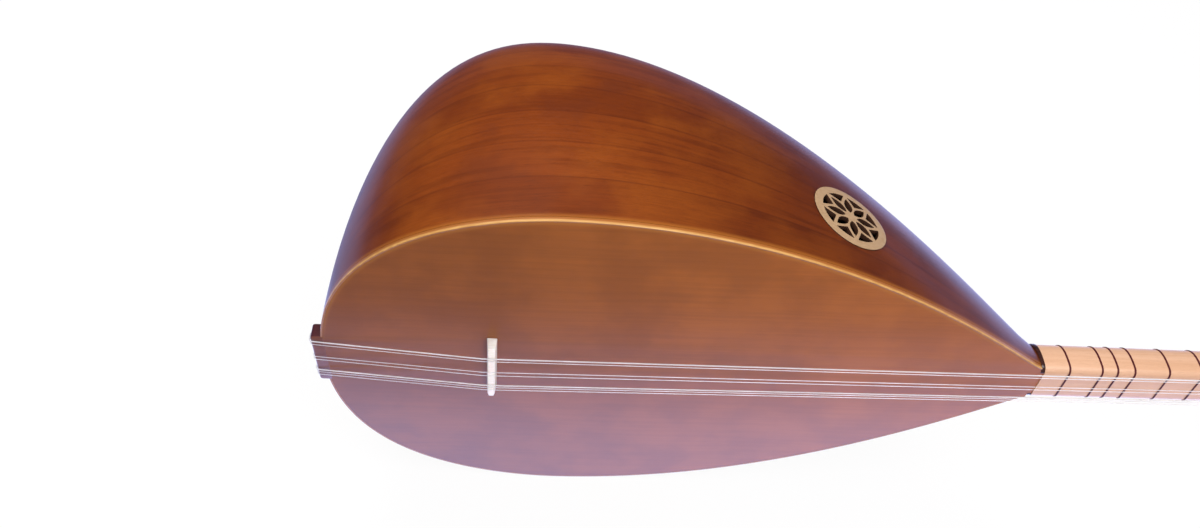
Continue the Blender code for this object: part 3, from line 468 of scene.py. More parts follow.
BONE = bone()
CORD = cord()
STEEL = wire("plain steel", (0.92, 0.90, 0.92), 0)
WOUND = wire("wound wire", (0.90, 0.88, 0.88), 3000)
print("made", BONE.name, CORD.name, STEEL.name, WOUND.name)

# %% [markdown]
# ## Helpers for shapes
# A piece starts as a bmesh operator's grid or tube, and its points are then moved to where
# the real surface is. The operator makes the faces, so the script only says where each point
# goes. The helper "settle" applies any modifiers, marks sharp edges, hangs the piece on the
# body that carries it, and hides the solid that it stands for.

# %% Shapes
def grid(along, across, place, uv=None, mark=None):
    """A sheet whose points are placed by two shares from 0 to 1. mark is (name, function)."""
    shape = bmesh.new()
    map_layer = shape.loops.layers.uv.new("grain")
    mark_layer = shape.verts.layers.float.new(mark[0] if mark else "plain")
    bmesh.ops.create_grid(shape, x_segments=along, y_segments=across, size=0.5)
    shares = {vertex: (vertex.co.x + 0.5, vertex.co.y + 0.5) for vertex in shape.verts}
    for face in shape.faces:
        for corner in face.loops:
            pair = shares[corner.vert]
            corner[map_layer].uv = uv(*pair) if uv else pair
    for vertex, pair in shares.items():
        vertex[mark_layer] = mark[1](*pair) if mark else 0.0
        vertex.co = place(*pair)
    return shape


def tube(around, rings):
    """A closed bar through rings of points. Each ring is a list with one point for each side."""
    shape = bmesh.new()
    bmesh.ops.create_cone(shape, cap_ends=True, segments=around, radius1=1, radius2=1, depth=1)
    sides = [edge for edge in shape.edges if abs(edge.verts[0].co.z - edge.verts[1].co.z) > 0.5]
    if len(rings) > 2:
        bmesh.ops.subdivide_edges(shape, edges=sides, cuts=len(rings) - 2)
    for vertex in shape.verts:
        row = round((vertex.co.z + 0.5) * (len(rings) - 1))
        angle = math.atan2(vertex.co.y, vertex.co.x) - math.pi / 2
        vertex.co = rings[row][round(angle / (2 * math.pi) * around) % around]
    bmesh.ops.recalc_face_normals(shape, faces=shape.faces)
    return shape


def turn_outwards(shape, way_out):
    """Turn a sheet's faces round if they look inwards, judged over all of them."""
    shape.normal_update()
    if sum(way_out(face) for face in shape.faces) < 0:
        bmesh.ops.reverse_faces(shape, faces=shape.faces)


def round_edges(shape, width, segments, least=35.0, edges=None):
    """Bevel the given edges, or all that are sharper than an angle in degrees."""
    if edges is None:
        edges = [edge for edge in shape.edges if edge.calc_face_angle(0.0) > math.radians(least)]
    bmesh.ops.bevel(
        shape, geom=edges, offset=width, offset_type="OFFSET", segments=segments, profile=0.5,
        affect="EDGES", clamp_overlap=True, material=-1,
    )


def to_object(shape, name, material):
    """A mesh object from a bmesh, at home in the world."""
    mesh = bpy.data.meshes.new(name)
    shape.to_mesh(mesh)
    shape.free()
    mesh.transform(HOME)
    mesh.materials.append(material)
    return add_object(name, mesh)


def modify(piece, kind, **options):
    """Add a modifier and set its options."""
    made = piece.modifiers.new(kind.lower(), kind)
    for name, value in options.items():
        setattr(made, name, value)


def thicken(piece, thickness):
    """Give an open sheet a wall behind its face."""
    modify(piece, "SOLIDIFY", thickness=thickness, offset=-1.0)


def cut(piece, cutter):
    """Take the cutter's shape out of a piece."""
    cutter.hide_render = True
    modify(piece, "BOOLEAN", operation="DIFFERENCE", solver="EXACT", object=cutter)


def soften(piece, width, segments=2, least=40.0):
    """Round the edges that are sharper than an angle in degrees, as a modifier."""
    angle = math.radians(least)
    modify(piece, "BEVEL", width=width, segments=segments, limit_method="ANGLE", angle_limit=angle)


def built_mesh(piece):
    """An object's mesh, with its modifiers or its curve worked out."""
    bpy.context.view_layer.update()
    view = piece.evaluated_get(bpy.context.evaluated_depsgraph_get())
    return bpy.data.meshes.new_from_object(view)


def settle(piece, body, nodes, sharp=35.0):
    """Apply the modifiers, shade the piece, hang it on its body and hide its solids."""
    mesh = built_mesh(piece)
    piece.modifiers.clear()
    piece.data = mesh
    mesh.name = piece.name
    mesh.shade_smooth()
    mesh.set_sharp_from_angle(angle=math.radians(sharp))
    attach(piece, body)
    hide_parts(*nodes)


def drop(*things):
    """Take objects out of the scene."""
    for thing in things:
        bpy.data.objects.remove(thing, do_unlink=True)


print("helpers for shapes are ready")

# %% [markdown]
# ## The bowl's two lines
# Two lines settle the bowl: the outline seen from the front, and the keel seen from the
# side. Each is two Bezier curves that meet, level, at the fullest point. Between them, each
# cross-section is half of a slightly squared ellipse.

# %% Bowl lines
BOWL_LENGTH = 0.419
HALF_WIDTH = 0.1295
WIDEST_AT = 0.1365
BOWL_DEPTH = 0.2424
DEEPEST_AT = 0.116
ROUNDNESS = 2.1
NECK_HALF_WIDTH = 0.0147
NECK_DEPTH = 0.0244


def bowl_line(peak, peak_at, tail, rear, front, neck, angle, end):
    """Places and heights of a line from the tail over its fullest point to the neck."""
    ahead = BOWL_LENGTH - peak_at
    reach = neck * ahead
    top = Vector((peak_at, peak))
    curves = (
        (Vector((0, 0)), Vector((0, tail * peak)), Vector((peak_at * (1 - rear), peak)), top),
        (top, Vector((peak_at + front * ahead, peak)),
         Vector((BOWL_LENGTH - reach, end + reach * math.tan(angle))), Vector((BOWL_LENGTH, end))),
    )
    first, second = [interpolate_bezier(*curve, 400) for curve in curves]
    line = np.array([point[:2] for point in first + second[1:]])
    return line[:, 0], line[:, 1]


OUTLINE = bowl_line(
    HALF_WIDTH, WIDEST_AT, 0.868, 0.309, 0.545, 0.052, math.radians(22.9), NECK_HALF_WIDTH
)
KEEL = bowl_line(
    BOWL_DEPTH - BOARD_THICKNESS, DEEPEST_AT, 0.375, 0.803, 0.461, 0.060, math.radians(25.0),
    NECK_DEPTH - BOARD_THICKNESS,
)


def squared(turn, roundness):
    """Across and down on a half circle that is squared up by its roundness."""
    across = math.copysign(abs(math.cos(turn)) ** (2 / roundness), math.cos(turn))
    return across, abs(math.sin(turn)) ** (2 / roundness)


def bowl_point(x, turn):
    """A point on the bowl. turn is 0 at the bass rim, a half circle at the treble rim."""
    across, down = squared(turn, ROUNDNESS)
    depth = float(np.interp(x, *KEEL)) * down
    return Vector((x, BOARD_THICKNESS + depth, float(np.interp(x, *OUTLINE)) * across))


def bowl_normal(x, turn):
    """The way out of the bowl at a point, from two short steps on its surface."""
    step = 0.001
    ahead = bowl_point(x + step, turn) - bowl_point(x - step, turn)
    aside = bowl_point(x, turn + step) - bowl_point(x, turn - step)
    return ahead.cross(aside).normalized()


print("the bowl is", BOWL_LENGTH, "long and", 2 * HALF_WIDTH, "wide")

# %% [markdown]
# ## The strips of the bowl
# Twenty-one strips, bent and glued edge to edge, make the bowl. Their glue lines are evenly
# spaced round the widest section. Each strip is a grid laid on the bowl's surface, with a wall
# behind it. Its edges stay sharp, because the lacquer lies flush over the glue lines. Its
# grain runs straight along the strip's own middle line, as in a strip that was sawn from a
# board, so its UV is measured from that line in metres.

# %% Strips
STRIPS = 21
SHELL = 0.003
FIRST_ANGLE = 0.5
STRIP_STATIONS = 72
STRIP_ACROSS = 6
GRAIN_SHIFT = 0.31


def walked(line):
    """How far along a line each of its points lies."""
    return np.concatenate([[0], np.cumsum(np.linalg.norm(np.diff(line, axis=0), axis=1))])


turns = np.linspace(0, math.pi, 721)
way = walked([bowl_point(WIDEST_AT, turn) for turn in turns])
GLUE_TURNS = np.interp(np.linspace(0, way[-1], STRIPS + 1), way, turns)


def station(share):
    """A place along the bowl. Places crowd together at the blunt tail."""
    angle = math.radians(FIRST_ANGLE + (90 - FIRST_ANGLE) * share)
    return BOWL_LENGTH * (1 - math.cos(angle))


def make_strip(number):
    near, far = GLUE_TURNS[number - 1], GLUE_TURNS[number]

    def width_at(share):
        x = station(share)
        return (bowl_point(x, far) - bowl_point(x, near)).length

    def place(share, across):
        return bowl_point(station(share), near + (far - near) * across)

    def uv(share, across):
        middle = (number + 0.5) * STRIP_SPACING
        return (station(share) + GRAIN_SHIFT * number, middle + (across - 0.5) * width_at(share))

    def seam(share, across):
        return (0.5 - abs(across - 0.5)) * width_at(share)

    shape = grid(STRIP_STATIONS, STRIP_ACROSS, place, uv, ("seam", seam))
    inside = Vector((WIDEST_AT, 0, 0))
    turn_outwards(shape, lambda face: face.normal.dot(face.calc_center_median() - inside))
    piece = to_object(shape, f"strip_{number:02d}", BOWL_WOOD)
    thicken(piece, SHELL)
    return piece


def node_of_strip(number):
    """The solid that holds a strip, by its name."""
    for name in frame["nodes"]:
        if name.startswith("stave"):
            ends = [int(word) for word in name.split("_") if word.isdigit()]
            if ends[0] <= number <= ends[-1]:
                return name
    raise ValueError(number)


strips = {number: make_strip(number) for number in range(1, STRIPS + 1)}
print("laid", len(strips), "strips")

# %% [markdown]
# ## The rosette
# A round pierced disc is let into the bass flank: a pale ring around an eight-pointed star
# with a leaf cut in each point. The disc must follow the flank, so it is a polar grid pressed
# onto the bowl. The openings are flat outlines, pushed through as one cutter. The same place
# on the flank gets its round hole first.

# %% Rosette
ROSETTE_AT = 0.296
ROSETTE_TURN = 0.280
ROSETTE_RADIUS = 0.024
ROSETTE_RING = 0.0053
ROSETTE_THICKNESS = 0.0028
ROSETTE_PROUD = 0.0004
ROSETTE_EDGE = 0.00025
ROSETTE_ROOM = 0.00005
CUTTER_REACH = 0.012
SEARCH_REACH = 0.02
POINTS = 8
# The pattern. The arc is a share of the step between two points, the last two are powers,
# and the others are shares of the radius inside the ring.
ARC_SHARE = 0.41
VALLEY = 0.64
LEAF_START = 0.20
LEAF_LENGTH = 0.67
LEAF_HALF_WIDTH = 0.145
LEAF_LEAN = 0.85
LEAF_FULLNESS = 0.9

rosette_centre = bowl_point(ROSETTE_AT, ROSETTE_TURN)
rosette_out = bowl_normal(ROSETTE_AT, ROSETTE_TURN)
rosette_along = (Vector((1, 0, 0)) - rosette_out * rosette_out.x).normalized()
rosette_up = rosette_out.cross(rosette_along)
ROSETTE_TURNED = Matrix((rosette_along, rosette_up, rosette_out)).transposed().to_4x4()
ROSETTE_HOME = Matrix.Translation(rosette_centre) @ ROSETTE_TURNED


def on_bowl(point, direction):
    """Slide a point along a direction onto the outside of the bowl."""
    low, high = -SEARCH_REACH, SEARCH_REACH
    for _ in range(22):
        middle = (low + high) / 2
        trial = point + direction * middle
        level = (abs(trial.z) / float(np.interp(trial.x, *OUTLINE))) ** ROUNDNESS
        level += (max(trial.y - BOARD_THICKNESS, 0) / float(np.interp(trial.x, *KEEL))) ** ROUNDNESS
        if level < 1:
            low = middle
        else:
            high = middle
    return point + direction * low


def polar(radius, angle):
    return (radius * math.cos(angle), radius * math.sin(angle))


def rosette_holes():
    """Outlines of the openings: one between every two points, and a leaf in each point."""
    step = 2 * math.pi / POINTS
    inside = ROSETTE_RADIUS - ROSETTE_RING
    holes = []
    for k in range(POINTS):
        valley = (k + 0.5) * step
        sweep = np.linspace(ARC_SHARE, -ARC_SHARE, 13)
        arc = [polar(inside, valley + share * step) for share in sweep]
        holes.append([polar(VALLEY * inside, valley), *arc])
        tip = k * step
        leaf = []
        for share in np.linspace(0, 1, 11):
            swell = math.sin(math.pi * share ** LEAF_LEAN) ** LEAF_FULLNESS
            leaf.append((LEAF_START + LEAF_LENGTH * share, LEAF_HALF_WIDTH * swell))
        round_leaf = leaf + [(u, -v) for u, v in leaf[-2:0:-1]]
        holes.append([polar(inside * math.hypot(u, v), tip + math.atan2(v, u)) for u, v in round_leaf])
    return holes


def line_curve(name, dimensions, routes):
    """A curve of straight runs. A route is (points, closed)."""
    curve = bpy.data.curves.new(name, "CURVE")
    curve.dimensions = dimensions
    for points, closed in routes:
        spline = curve.splines.new("POLY")
        spline.points.add(len(points) - 1)
        for slot, point in zip(spline.points, points):
            slot.co = (*point, 1)
        spline.use_cyclic_u = closed
    return curve


def flat_cutter(name, outlines):
    """Flat outlines as one closed mesh that reaches both ways through the disc's place."""
    curve = line_curve(name, "2D", [([(u, v, 0) for u, v in points], True) for points in outlines])
    curve.fill_mode = "BOTH"
    curve.extrude = CUTTER_REACH
    flat = add_object(name, curve)
    mesh = built_mesh(flat)
    drop(flat)
    shape = bmesh.new()
    shape.from_mesh(mesh)
    bmesh.ops.remove_doubles(shape, verts=shape.verts, dist=0.00001)
    bmesh.ops.recalc_face_normals(shape, faces=shape.faces)
    bmesh.ops.transform(shape, matrix=ROSETTE_HOME, verts=shape.verts)
    return to_object(shape, name, BONE)


def disc_place(share, out):
    u, v = polar(ROSETTE_RADIUS * out, 2 * math.pi * share)
    start = rosette_centre + rosette_along * u + rosette_up * v
    return on_bowl(start, rosette_out) + rosette_out * ROSETTE_PROUD


def make_rosette():
    shape = grid(96, 14, disc_place)
    bmesh.ops.remove_doubles(shape, verts=shape.verts, dist=0.00001)
    turn_outwards(shape, lambda face: face.normal.dot(rosette_out))
    disc = to_object(shape, "rosette_disc", WOODS["rosette_wood"])
    thicken(disc, ROSETTE_THICKNESS)
    cutter = flat_cutter("openings", rosette_holes())
    cut(disc, cutter)
    soften(disc, ROSETTE_EDGE)
    settle(disc, "saz_body", ["rosette"])
    drop(cutter)
    return disc


circle = [polar(ROSETTE_RADIUS + ROSETTE_ROOM, 2 * math.pi * k / 96) for k in range(96)]
hole = flat_cutter("round_hole", [circle])
for number in (2, 3, 4):
    cut(strips[number], hole)
for number, strip in strips.items():
    settle(strip, "saz_body", [node_of_strip(number)])
drop(hole)
rosette = make_rosette()
print("the rosette has", len(rosette.data.polygons), "faces")

# %% [markdown]
# ## The soundboard and its edge
# The face is one flat plate. The strip along its edge keeps the same width all the way
# round, so both are measured from the outline and the direction square to it. Even steps
# along the outline keep the blunt tail smooth.

# %% Soundboard and edge strips
EDGE_WIDTH = 0.0012
EDGE_STATIONS = 110
EDGE_ROUNDING = 0.00035
TONGUE = 0.0107
RING_THICKNESS = 0.0021

steps = walked(np.column_stack(OUTLINE))
places = np.linspace(0.0, steps[-1], EDGE_STATIONS + 1)
edge_x = np.interp(places, steps, OUTLINE[0])
edge_z = np.interp(places, steps, OUTLINE[1])
slope = np.hypot(np.gradient(edge_x), np.gradient(edge_z))
out_x = -np.gradient(edge_z) / slope
out_z = np.gradient(edge_x) / slope


def edge_point(share, inset):
    """A point on the outline, moved in by a distance. share runs from the tail to the neck."""
    k = round(share * EDGE_STATIONS)
    return Vector((edge_x[k] - out_x[k] * inset, 0, max(edge_z[k] - out_z[k] * inset, 0)))


def board_place(share, across):
    """The board's columns run across it. The last ones make the tongue over the ring."""
    columns = EDGE_STATIONS + 3
    column = round(share * columns)
    if column <= EDGE_STATIONS:
        edge = edge_point(column / EDGE_STATIONS, EDGE_WIDTH)
        return Vector((edge.x, 0, edge.z * (2 * across - 1)))
    x = BOWL_LENGTH + (RING_THICKNESS if column == columns else 0.0)
    return Vector((x, 0, TONGUE * (2 * across - 1)))


def board_rim(share, across):
    column = min(round(share * (EDGE_STATIONS + 3)), EDGE_STATIONS)
    return (1 - abs(2 * across - 1)) * edge_z[column] * abs(out_z[column])


def flat_sheet(shape):
    """Make a sheet in the plane of the face look outwards, towards -Y."""
    bmesh.ops.remove_doubles(shape, verts=shape.verts, dist=0.000001)
    turn_outwards(shape, lambda face: -face.normal.y * face.calc_area())
    return shape


board = to_object(
    flat_sheet(grid(EDGE_STATIONS + 3, 24, board_place, None, ("rim", board_rim))),
    "soundboard_face", BOARD_WOOD,
)
thicken(board, BOARD_THICKNESS)
settle(board, "saz_body", ["soundboard"])

for side, name in ((1, "edge_strip_bass"), (-1, "edge_strip_treble")):
    def strip_place(share, across):
        point = edge_point(share, EDGE_WIDTH * across)
        return Vector((point.x, 0, side * point.z))

    sheet = flat_sheet(grid(EDGE_STATIONS, 1, strip_place))
    edging = to_object(sheet, name.replace("edge_strip", "edging"), EDGE_WOOD)
    thicken(edging, BOARD_THICKNESS)
    soften(edging, EDGE_ROUNDING, 3, 60.0)
    settle(edging, "saz_body", [name])
print("the edge is", round(float(steps[-1]), 3), "long on each side")

# %% [markdown]
# ## The neck, its ring and the head
# All three have a flat face, rounded corners and a bellied back. One function gives that
# section, walked in even steps so that every ring has the same number of points. The head
# is tilted back, and its peg holes are cut with tapered bars.

# %% Sections
NECK_START = BOWL_LENGTH + RING_THICKNESS
NECK_ROUNDNESS = 2.5
NECK_CORNER = 0.0037
HALF_WIDTH_AT_NUT = 0.0140
DEPTH_AT_NUT = 0.0210
FACE_RISE = 0.0006
AROUND = 72
nut_low, nut_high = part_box("nut")
HEAD_JOINT = nut_high.x - TAIL
NUT_WIDTH = 0.004
NUT_AT = HEAD_JOINT - NUT_WIDTH


def outline(half_width, depth, corner, roundness, count=AROUND):
    """Points of a section as (across, down), evenly spaced from the middle of its face."""
    flat = half_width - corner
    quarter = np.linspace(0, math.pi / 2, 12)
    bass = [(flat + corner * math.sin(a), corner * (1 - math.cos(a))) for a in quarter]
    belly = depth - corner
    back = []
    for turn in np.linspace(0, math.pi, 121)[1:-1]:
        across, down = squared(turn, roundness)
        back.append((across * half_width, corner + belly * down))
    treble = [(-across, down) for across, down in bass[::-1]]
    line = np.array([(0, 0), *bass, *back, *treble, (0, 0)])
    way = walked(line)
    even = np.linspace(0, way[-1], count + 1)[:-1]
    return list(zip(np.interp(even, way, line[:, 0]), np.interp(even, way, line[:, 1])))


def neck_size(x):
    share = (x - NECK_START) / (HEAD_JOINT - NECK_START)
    half_width = NECK_HALF_WIDTH + (HALF_WIDTH_AT_NUT - NECK_HALF_WIDTH) * share
    return half_width, NECK_DEPTH + (DEPTH_AT_NUT - NECK_DEPTH) * share


def neck_ring(x, grow=0.0, count=AROUND, size=None, face_rise=FACE_RISE):
    """The neck's section at x, or one of another size, grown by a distance."""
    half_width, depth = size or neck_size(x)
    points = outline(
        half_width + grow, depth + grow + face_rise, NECK_CORNER + grow, NECK_ROUNDNESS, count
    )
    return [Vector((x, down - face_rise, across)) for across, down in points]


shape = tube(AROUND, [neck_ring(x) for x in np.linspace(NECK_START, HEAD_JOINT, 12)])
neck = to_object(shape, "neck_shaft", WOODS["neck_wood"])
settle(neck, "saz_body", ["neck"], 50.0)
print("the neck is", round(HEAD_JOINT - NECK_START, 4), "long")

# %% [markdown]
# A thin dark ring hides the joint of bowl and neck. It is a short length of the same section, a
# hair larger, with a notch in its face for the tongue of the soundboard.

# %% Joint ring
RING_PROUD = 0.0004
RING_FACE_RISE = 0.0003
RING_OVERLAP = 0.0002
RING_EDGE = 0.0002


def solid_block(size, middle):
    """A box about a point, to be shaped further or to cut with."""
    shape = bmesh.new()
    place = Matrix.Translation(middle) @ Matrix.Diagonal((*size, 1.0))
    bmesh.ops.create_cube(shape, size=1.0, matrix=place)
    return shape


rings = [
    neck_ring(x, RING_PROUD, AROUND, (NECK_HALF_WIDTH, NECK_DEPTH), RING_FACE_RISE)
    for x in (BOWL_LENGTH - RING_OVERLAP, NECK_START)
]
ring = to_object(tube(AROUND, rings), "dark_ring", WOODS["dark_wood"])
bar = solid_block((0.01, 2 * BOARD_THICKNESS, 2 * TONGUE), (BOWL_LENGTH, 0, 0))
notch = to_object(bar, "notch", BONE)
cut(ring, notch)
soften(ring, RING_EDGE)
settle(ring, "saz_body", ["joint_ring"])
drop(notch)
print("the ring is", RING_THICKNESS, "thick")

# %% [markdown]
# The head starts as the neck's own section and turns squarer within a centimetre and a half.
# It thins towards its tip, whose edge is rounded. Its first ring leans, so that it meets the
# neck's square end over the whole section.

# %% Head
HEAD_LENGTH = 0.175
HEAD_TILT = math.radians(12.0)
HEAD_CORNER = 0.0035
HEAD_ROUNDNESS = 5.0
TIP_ROUNDING = 0.0022
# Share of the length, half width and thickness
HEAD_SECTIONS = (
    (0.08, 0.0142, 0.0185),
    (0.50, 0.0138, 0.0170),
    (0.93, 0.0130, 0.0150),
    (1.00, 0.0095, 0.0120),
)
HEAD_ALONG = Vector((math.cos(HEAD_TILT), math.sin(HEAD_TILT), 0))
HEAD_OUT = Vector((math.sin(HEAD_TILT), -math.cos(HEAD_TILT), 0))


def head_point(along, above, across):
    """A point along, above and across the tilted face of the head."""
    start = Vector((HEAD_JOINT, -FACE_RISE, across))
    return start + HEAD_ALONG * along + HEAD_OUT * above


def head_size(share):
    """Half width and thickness of the head at a share of its length."""
    shares, half_widths, depths = zip(*HEAD_SECTIONS)
    return float(np.interp(share, shares, half_widths)), float(np.interp(share, shares, depths))


def head_ring(share):
    half_width, depth = head_size(share)
    blend = min(share / HEAD_SECTIONS[0][0], 1.0)
    end_width, end_depth = neck_size(HEAD_JOINT)
    half_width = end_width + (half_width - end_width) * blend
    depth = end_depth + FACE_RISE + (depth - end_depth - FACE_RISE) * blend
    roundness = NECK_ROUNDNESS + (HEAD_ROUNDNESS - NECK_ROUNDNESS) * blend
    ring = []
    for across, down in outline(half_width, depth, HEAD_CORNER, roundness):
        lean = down * math.tan(HEAD_TILT) * (1 - blend)
        ring.append(head_point(share * HEAD_LENGTH + lean, -down, across))
    return ring


shares = [0.0, 0.03, 0.08, 0.2, 0.35, 0.5, 0.65, 0.8, 0.9, 0.93, 0.96, 0.985, 1.0]
shape = tube(AROUND, [head_ring(share) for share in shares])
tip = [
    edge for edge in shape.edges
    if edge.calc_face_angle(0.0) > math.radians(60) and edge.verts[0].co.x > HEAD_JOINT + 0.9 * HEAD_LENGTH
]
round_edges(shape, TIP_ROUNDING, 4, edges=tip)
head = to_object(shape, "head", WOODS["neck_wood"])
print("the head is", HEAD_LENGTH, "long")

# %% [markdown]
# ## The pegs
# A saz peg is a tapered shaft with a collar and a T-shaped grip. The frame's joints say
# where each peg enters the head and along which axis. A row of ellipses gives the form, from
# the thin end through the head to the grip, and subdivision rounds it.

# %% Pegs
PEG_RADIUS = 0.0036
PEG_TAPER = 0.014
PEG_END = 0.003
PEG_SIDES = 20
PEG_ROOM = 0.0002
DRILL_PAST_END = 0.004
DRILL_OUTSIDE = 0.002
STANDOFF = 0.0095
GRIP = 0.015
PEG_STEP = math.radians(37)
SIDE_PEGS_AT = (0.050, 0.085, 0.120)
FRONT_PEGS_AT = (0.034, 0.069, 0.104, 0.139)
PEG_NAMES = sorted(name for name in frame["nodes"] if name.startswith("peg_"))


def peg_place(name):
    """Where a peg enters the head, and the way out along it."""
    joint = JOINTS[f"{name}_turn"]
    return Vector(joint["pos_m"]) - HOME.translation, Vector(joint["axis"]).normalized()


def peg_matrix(name):
    """Home of a peg: Z out along its axis, turned as the solid stands."""
    origin, axis = peg_place(name)
    turn = Matrix((HEAD_ALONG, axis.cross(HEAD_ALONG), axis)).transposed()
    spin = Matrix.Rotation(PEG_NAMES.index(name) * PEG_STEP, 3, "Z")
    return Matrix.Translation(origin) @ (turn @ spin).to_4x4()


def peg_depth(name):
    """How far the shaft runs from where it enters the head to its thin end."""
    index = PEG_NAMES.index(name)
    if name.endswith("side"):
        return 2 * head_size(SIDE_PEGS_AT[index] / HEAD_LENGTH)[0] + PEG_END
    return head_size(FRONT_PEGS_AT[index - len(SIDE_PEGS_AT)] / HEAD_LENGTH)[1] + PEG_END


def make_peg(name):
    end = peg_depth(name)
    thin = PEG_RADIUS - PEG_TAPER * end
    r, g, out = PEG_RADIUS, GRIP, STANDOFF
    # Height along the peg, and half of its length and width there
    sections = (
        (-end, 0.6 * thin, 0.6 * thin),
        (-end + 0.0006, thin, thin),
        (-end / 2, (thin + r) / 2, (thin + r) / 2),
        (0, r, r),
        (out - 0.0009, r, r),
        (out - 0.0003, 1.15 * r, 1.15 * r),
        (out + 0.05 * g, 1.75 * r, 1.75 * r),
        (out + 0.13 * g, 1.85 * r, 1.85 * r),
        (out + 0.20 * g, 1.65 * r, 1.65 * r),
        (out + 0.24 * g, 1.2 * r, 1.15 * r),
        (out + 0.36 * g, 1.1 * r, 1.0 * r),
        (out + 0.62 * g, 0.40 * g, 0.95 * r),
        (out + 0.86 * g, 0.88 * g, 1.08 * r),
        (out + 1.05 * g, 1.00 * g, 1.15 * r),
        (out + 1.22 * g, 0.99 * g, 1.10 * r),
        (out + 1.34 * g, 0.92 * g, 0.85 * r),
        (out + 1.40 * g, 0.72 * g, 0.45 * r),
    )
    turns = [2 * math.pi * k / PEG_SIDES for k in range(PEG_SIDES)]
    rings = [
        [Vector((long_half * math.cos(a), short_half * math.sin(a), height)) for a in turns]
        for height, long_half, short_half in sections
    ]
    shape = tube(PEG_SIDES, rings)
    bmesh.ops.transform(shape, matrix=peg_matrix(name), verts=shape.verts)
    piece = to_object(shape, name.replace("peg", "turned_peg"), WOODS["peg_wood"])
    modify(piece, "SUBSURF", levels=2, render_levels=2)
    settle(piece, name, [name], 60.0)


def round_bar(start_radius, end_radius, length, sides, place):
    """A round bar about a place, to cut a hole with."""
    shape = bmesh.new()
    bmesh.ops.create_cone(
        shape, cap_ends=True, segments=sides, radius1=start_radius, radius2=end_radius,
        depth=length, matrix=place,
    )
    return shape


def drill(name):
    """A bar that leaves the peg a hair of room in the head."""
    end = peg_depth(name) + DRILL_PAST_END
    length = end + DRILL_OUTSIDE
    wide = PEG_RADIUS + PEG_ROOM
    place = Matrix.Translation((0, 0, DRILL_OUTSIDE - length / 2))
    shape = round_bar(wide - PEG_TAPER * end, wide, length, 40, place)
    bmesh.ops.transform(shape, matrix=peg_matrix(name), verts=shape.verts)
    return to_object(shape, f"drill_{name}", BONE)


drills = [drill(name) for name in PEG_NAMES]
for bar in drills:
    cut(head, bar)
settle(head, "saz_body", ["headstock"])
drop(*drills)
for name in PEG_NAMES:
    make_peg(name)
print("turned", len(PEG_NAMES), "pegs")

# %% [markdown]
# ## The tied frets
# Each fret is nylon cord, wound three times round the neck and knotted on the treble side of
# its back. Three closed loops lie side by side on the neck's own section, and the knot is a
# short loop over them with two cut ends. A curve with a round bevel is the shortest way to a
# cord, and it rides like a mesh.

# %% Frets
CORD_RADIUS = 0.00019
CORD_TURNS = 3
# The knot's bends: along the neck in double widths of the cord, round the neck in metres
KNOT = (
    (-1.0, -0.0012), (-0.6, 0.0), (0.6, 0.0004), (1.0, 0.0012), (0.3, 0.0016),
    (-0.6, 0.0012), (-1.0, 0.0004), (0.2, -0.0006), (1.1, -0.0012),
)


def cord_curve(name, routes, radius, material):
    """One curve object, with a cord or wire along each route."""
    placed = [([HOME @ Vector(point) for point in points], closed) for points, closed in routes]
    curve = line_curve(name, "3D", placed)
    curve.bevel_depth = radius
    curve.bevel_resolution = 2
    curve.use_fill_caps = True
    curve.materials.append(material)
    return add_object(name, curve)


def round_neck(x, out):
    """A loop round the neck, a distance out from its surface."""
    return neck_ring(x, out, 48, None, FACE_RISE + out)


def fret_routes(x):
    loops = []
    for turn in range(CORD_TURNS):
        at = x + (turn - (CORD_TURNS - 1) / 2) * 2 * CORD_RADIUS
        loops.append((round_neck(at, CORD_RADIUS), True))
    ring = round_neck(x, 3 * CORD_RADIUS)
    knot = len(ring) * 2 // 3
    low, high = ring[knot], ring[knot + 1]
    wide = (CORD_TURNS + 1) * CORD_RADIUS
    along = Vector((wide, 0, 0))
    side = (high - low).normalized()
    hitch = [low + along * ahead + side * aside for ahead, aside in KNOT]
    return loops + [(hitch, False)]


fret_names = sorted(name for name in frame["nodes"] if name.startswith("fret_"))
for name in fret_names:
    low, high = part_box(name)
    x = (low.x + high.x) / 2 - TAIL
    piece = cord_curve(name.replace("fret", "tied_fret"), fret_routes(x), CORD_RADIUS, CORD)
    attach(piece, name)
    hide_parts(name)
print("tied", len(fret_names), "frets with", CORD_TURNS, "turns each")

# %% [markdown]
# ## Bridge, nut and tail block
# The bridge is a bone bar, square at the bass end, pointed at the treble end and narrower on
# top. So it is a bar of six sides with two rings: the foot, and the smaller crest.

# %% Bridge
BRIDGE_AT = 0.0979
BRIDGE_ENDS = (0.0282, -0.0225)
BRIDGE_FOOT = 0.0059
BRIDGE_TOP = 0.0042
BRIDGE_HEIGHT = 0.0067
BRIDGE_POINT = 0.004
BRIDGE_END_SLOPE = 0.0012
BRIDGE_SLANT = math.radians(1.7)
BONE_EDGE = 0.0005
STRING_CLEARANCE = 0.00029
BONE_RISE = 0.9 * STRING_CLEARANCE


def bridge_ring(height, half_width, tip, draw):
    """The bridge seen from above at one height, as six corners."""
    half = (BRIDGE_ENDS[0] - BRIDGE_ENDS[1]) / 2
    end = half - draw
    shoulder = BRIDGE_POINT - half
    corners = (
        (half_width, end), (-half_width, end), (-half_width, shoulder),
        (-tip, -end), (tip, -end), (half_width, shoulder),
    )
    return [Vector((u, -height, v)) for u, v in corners]


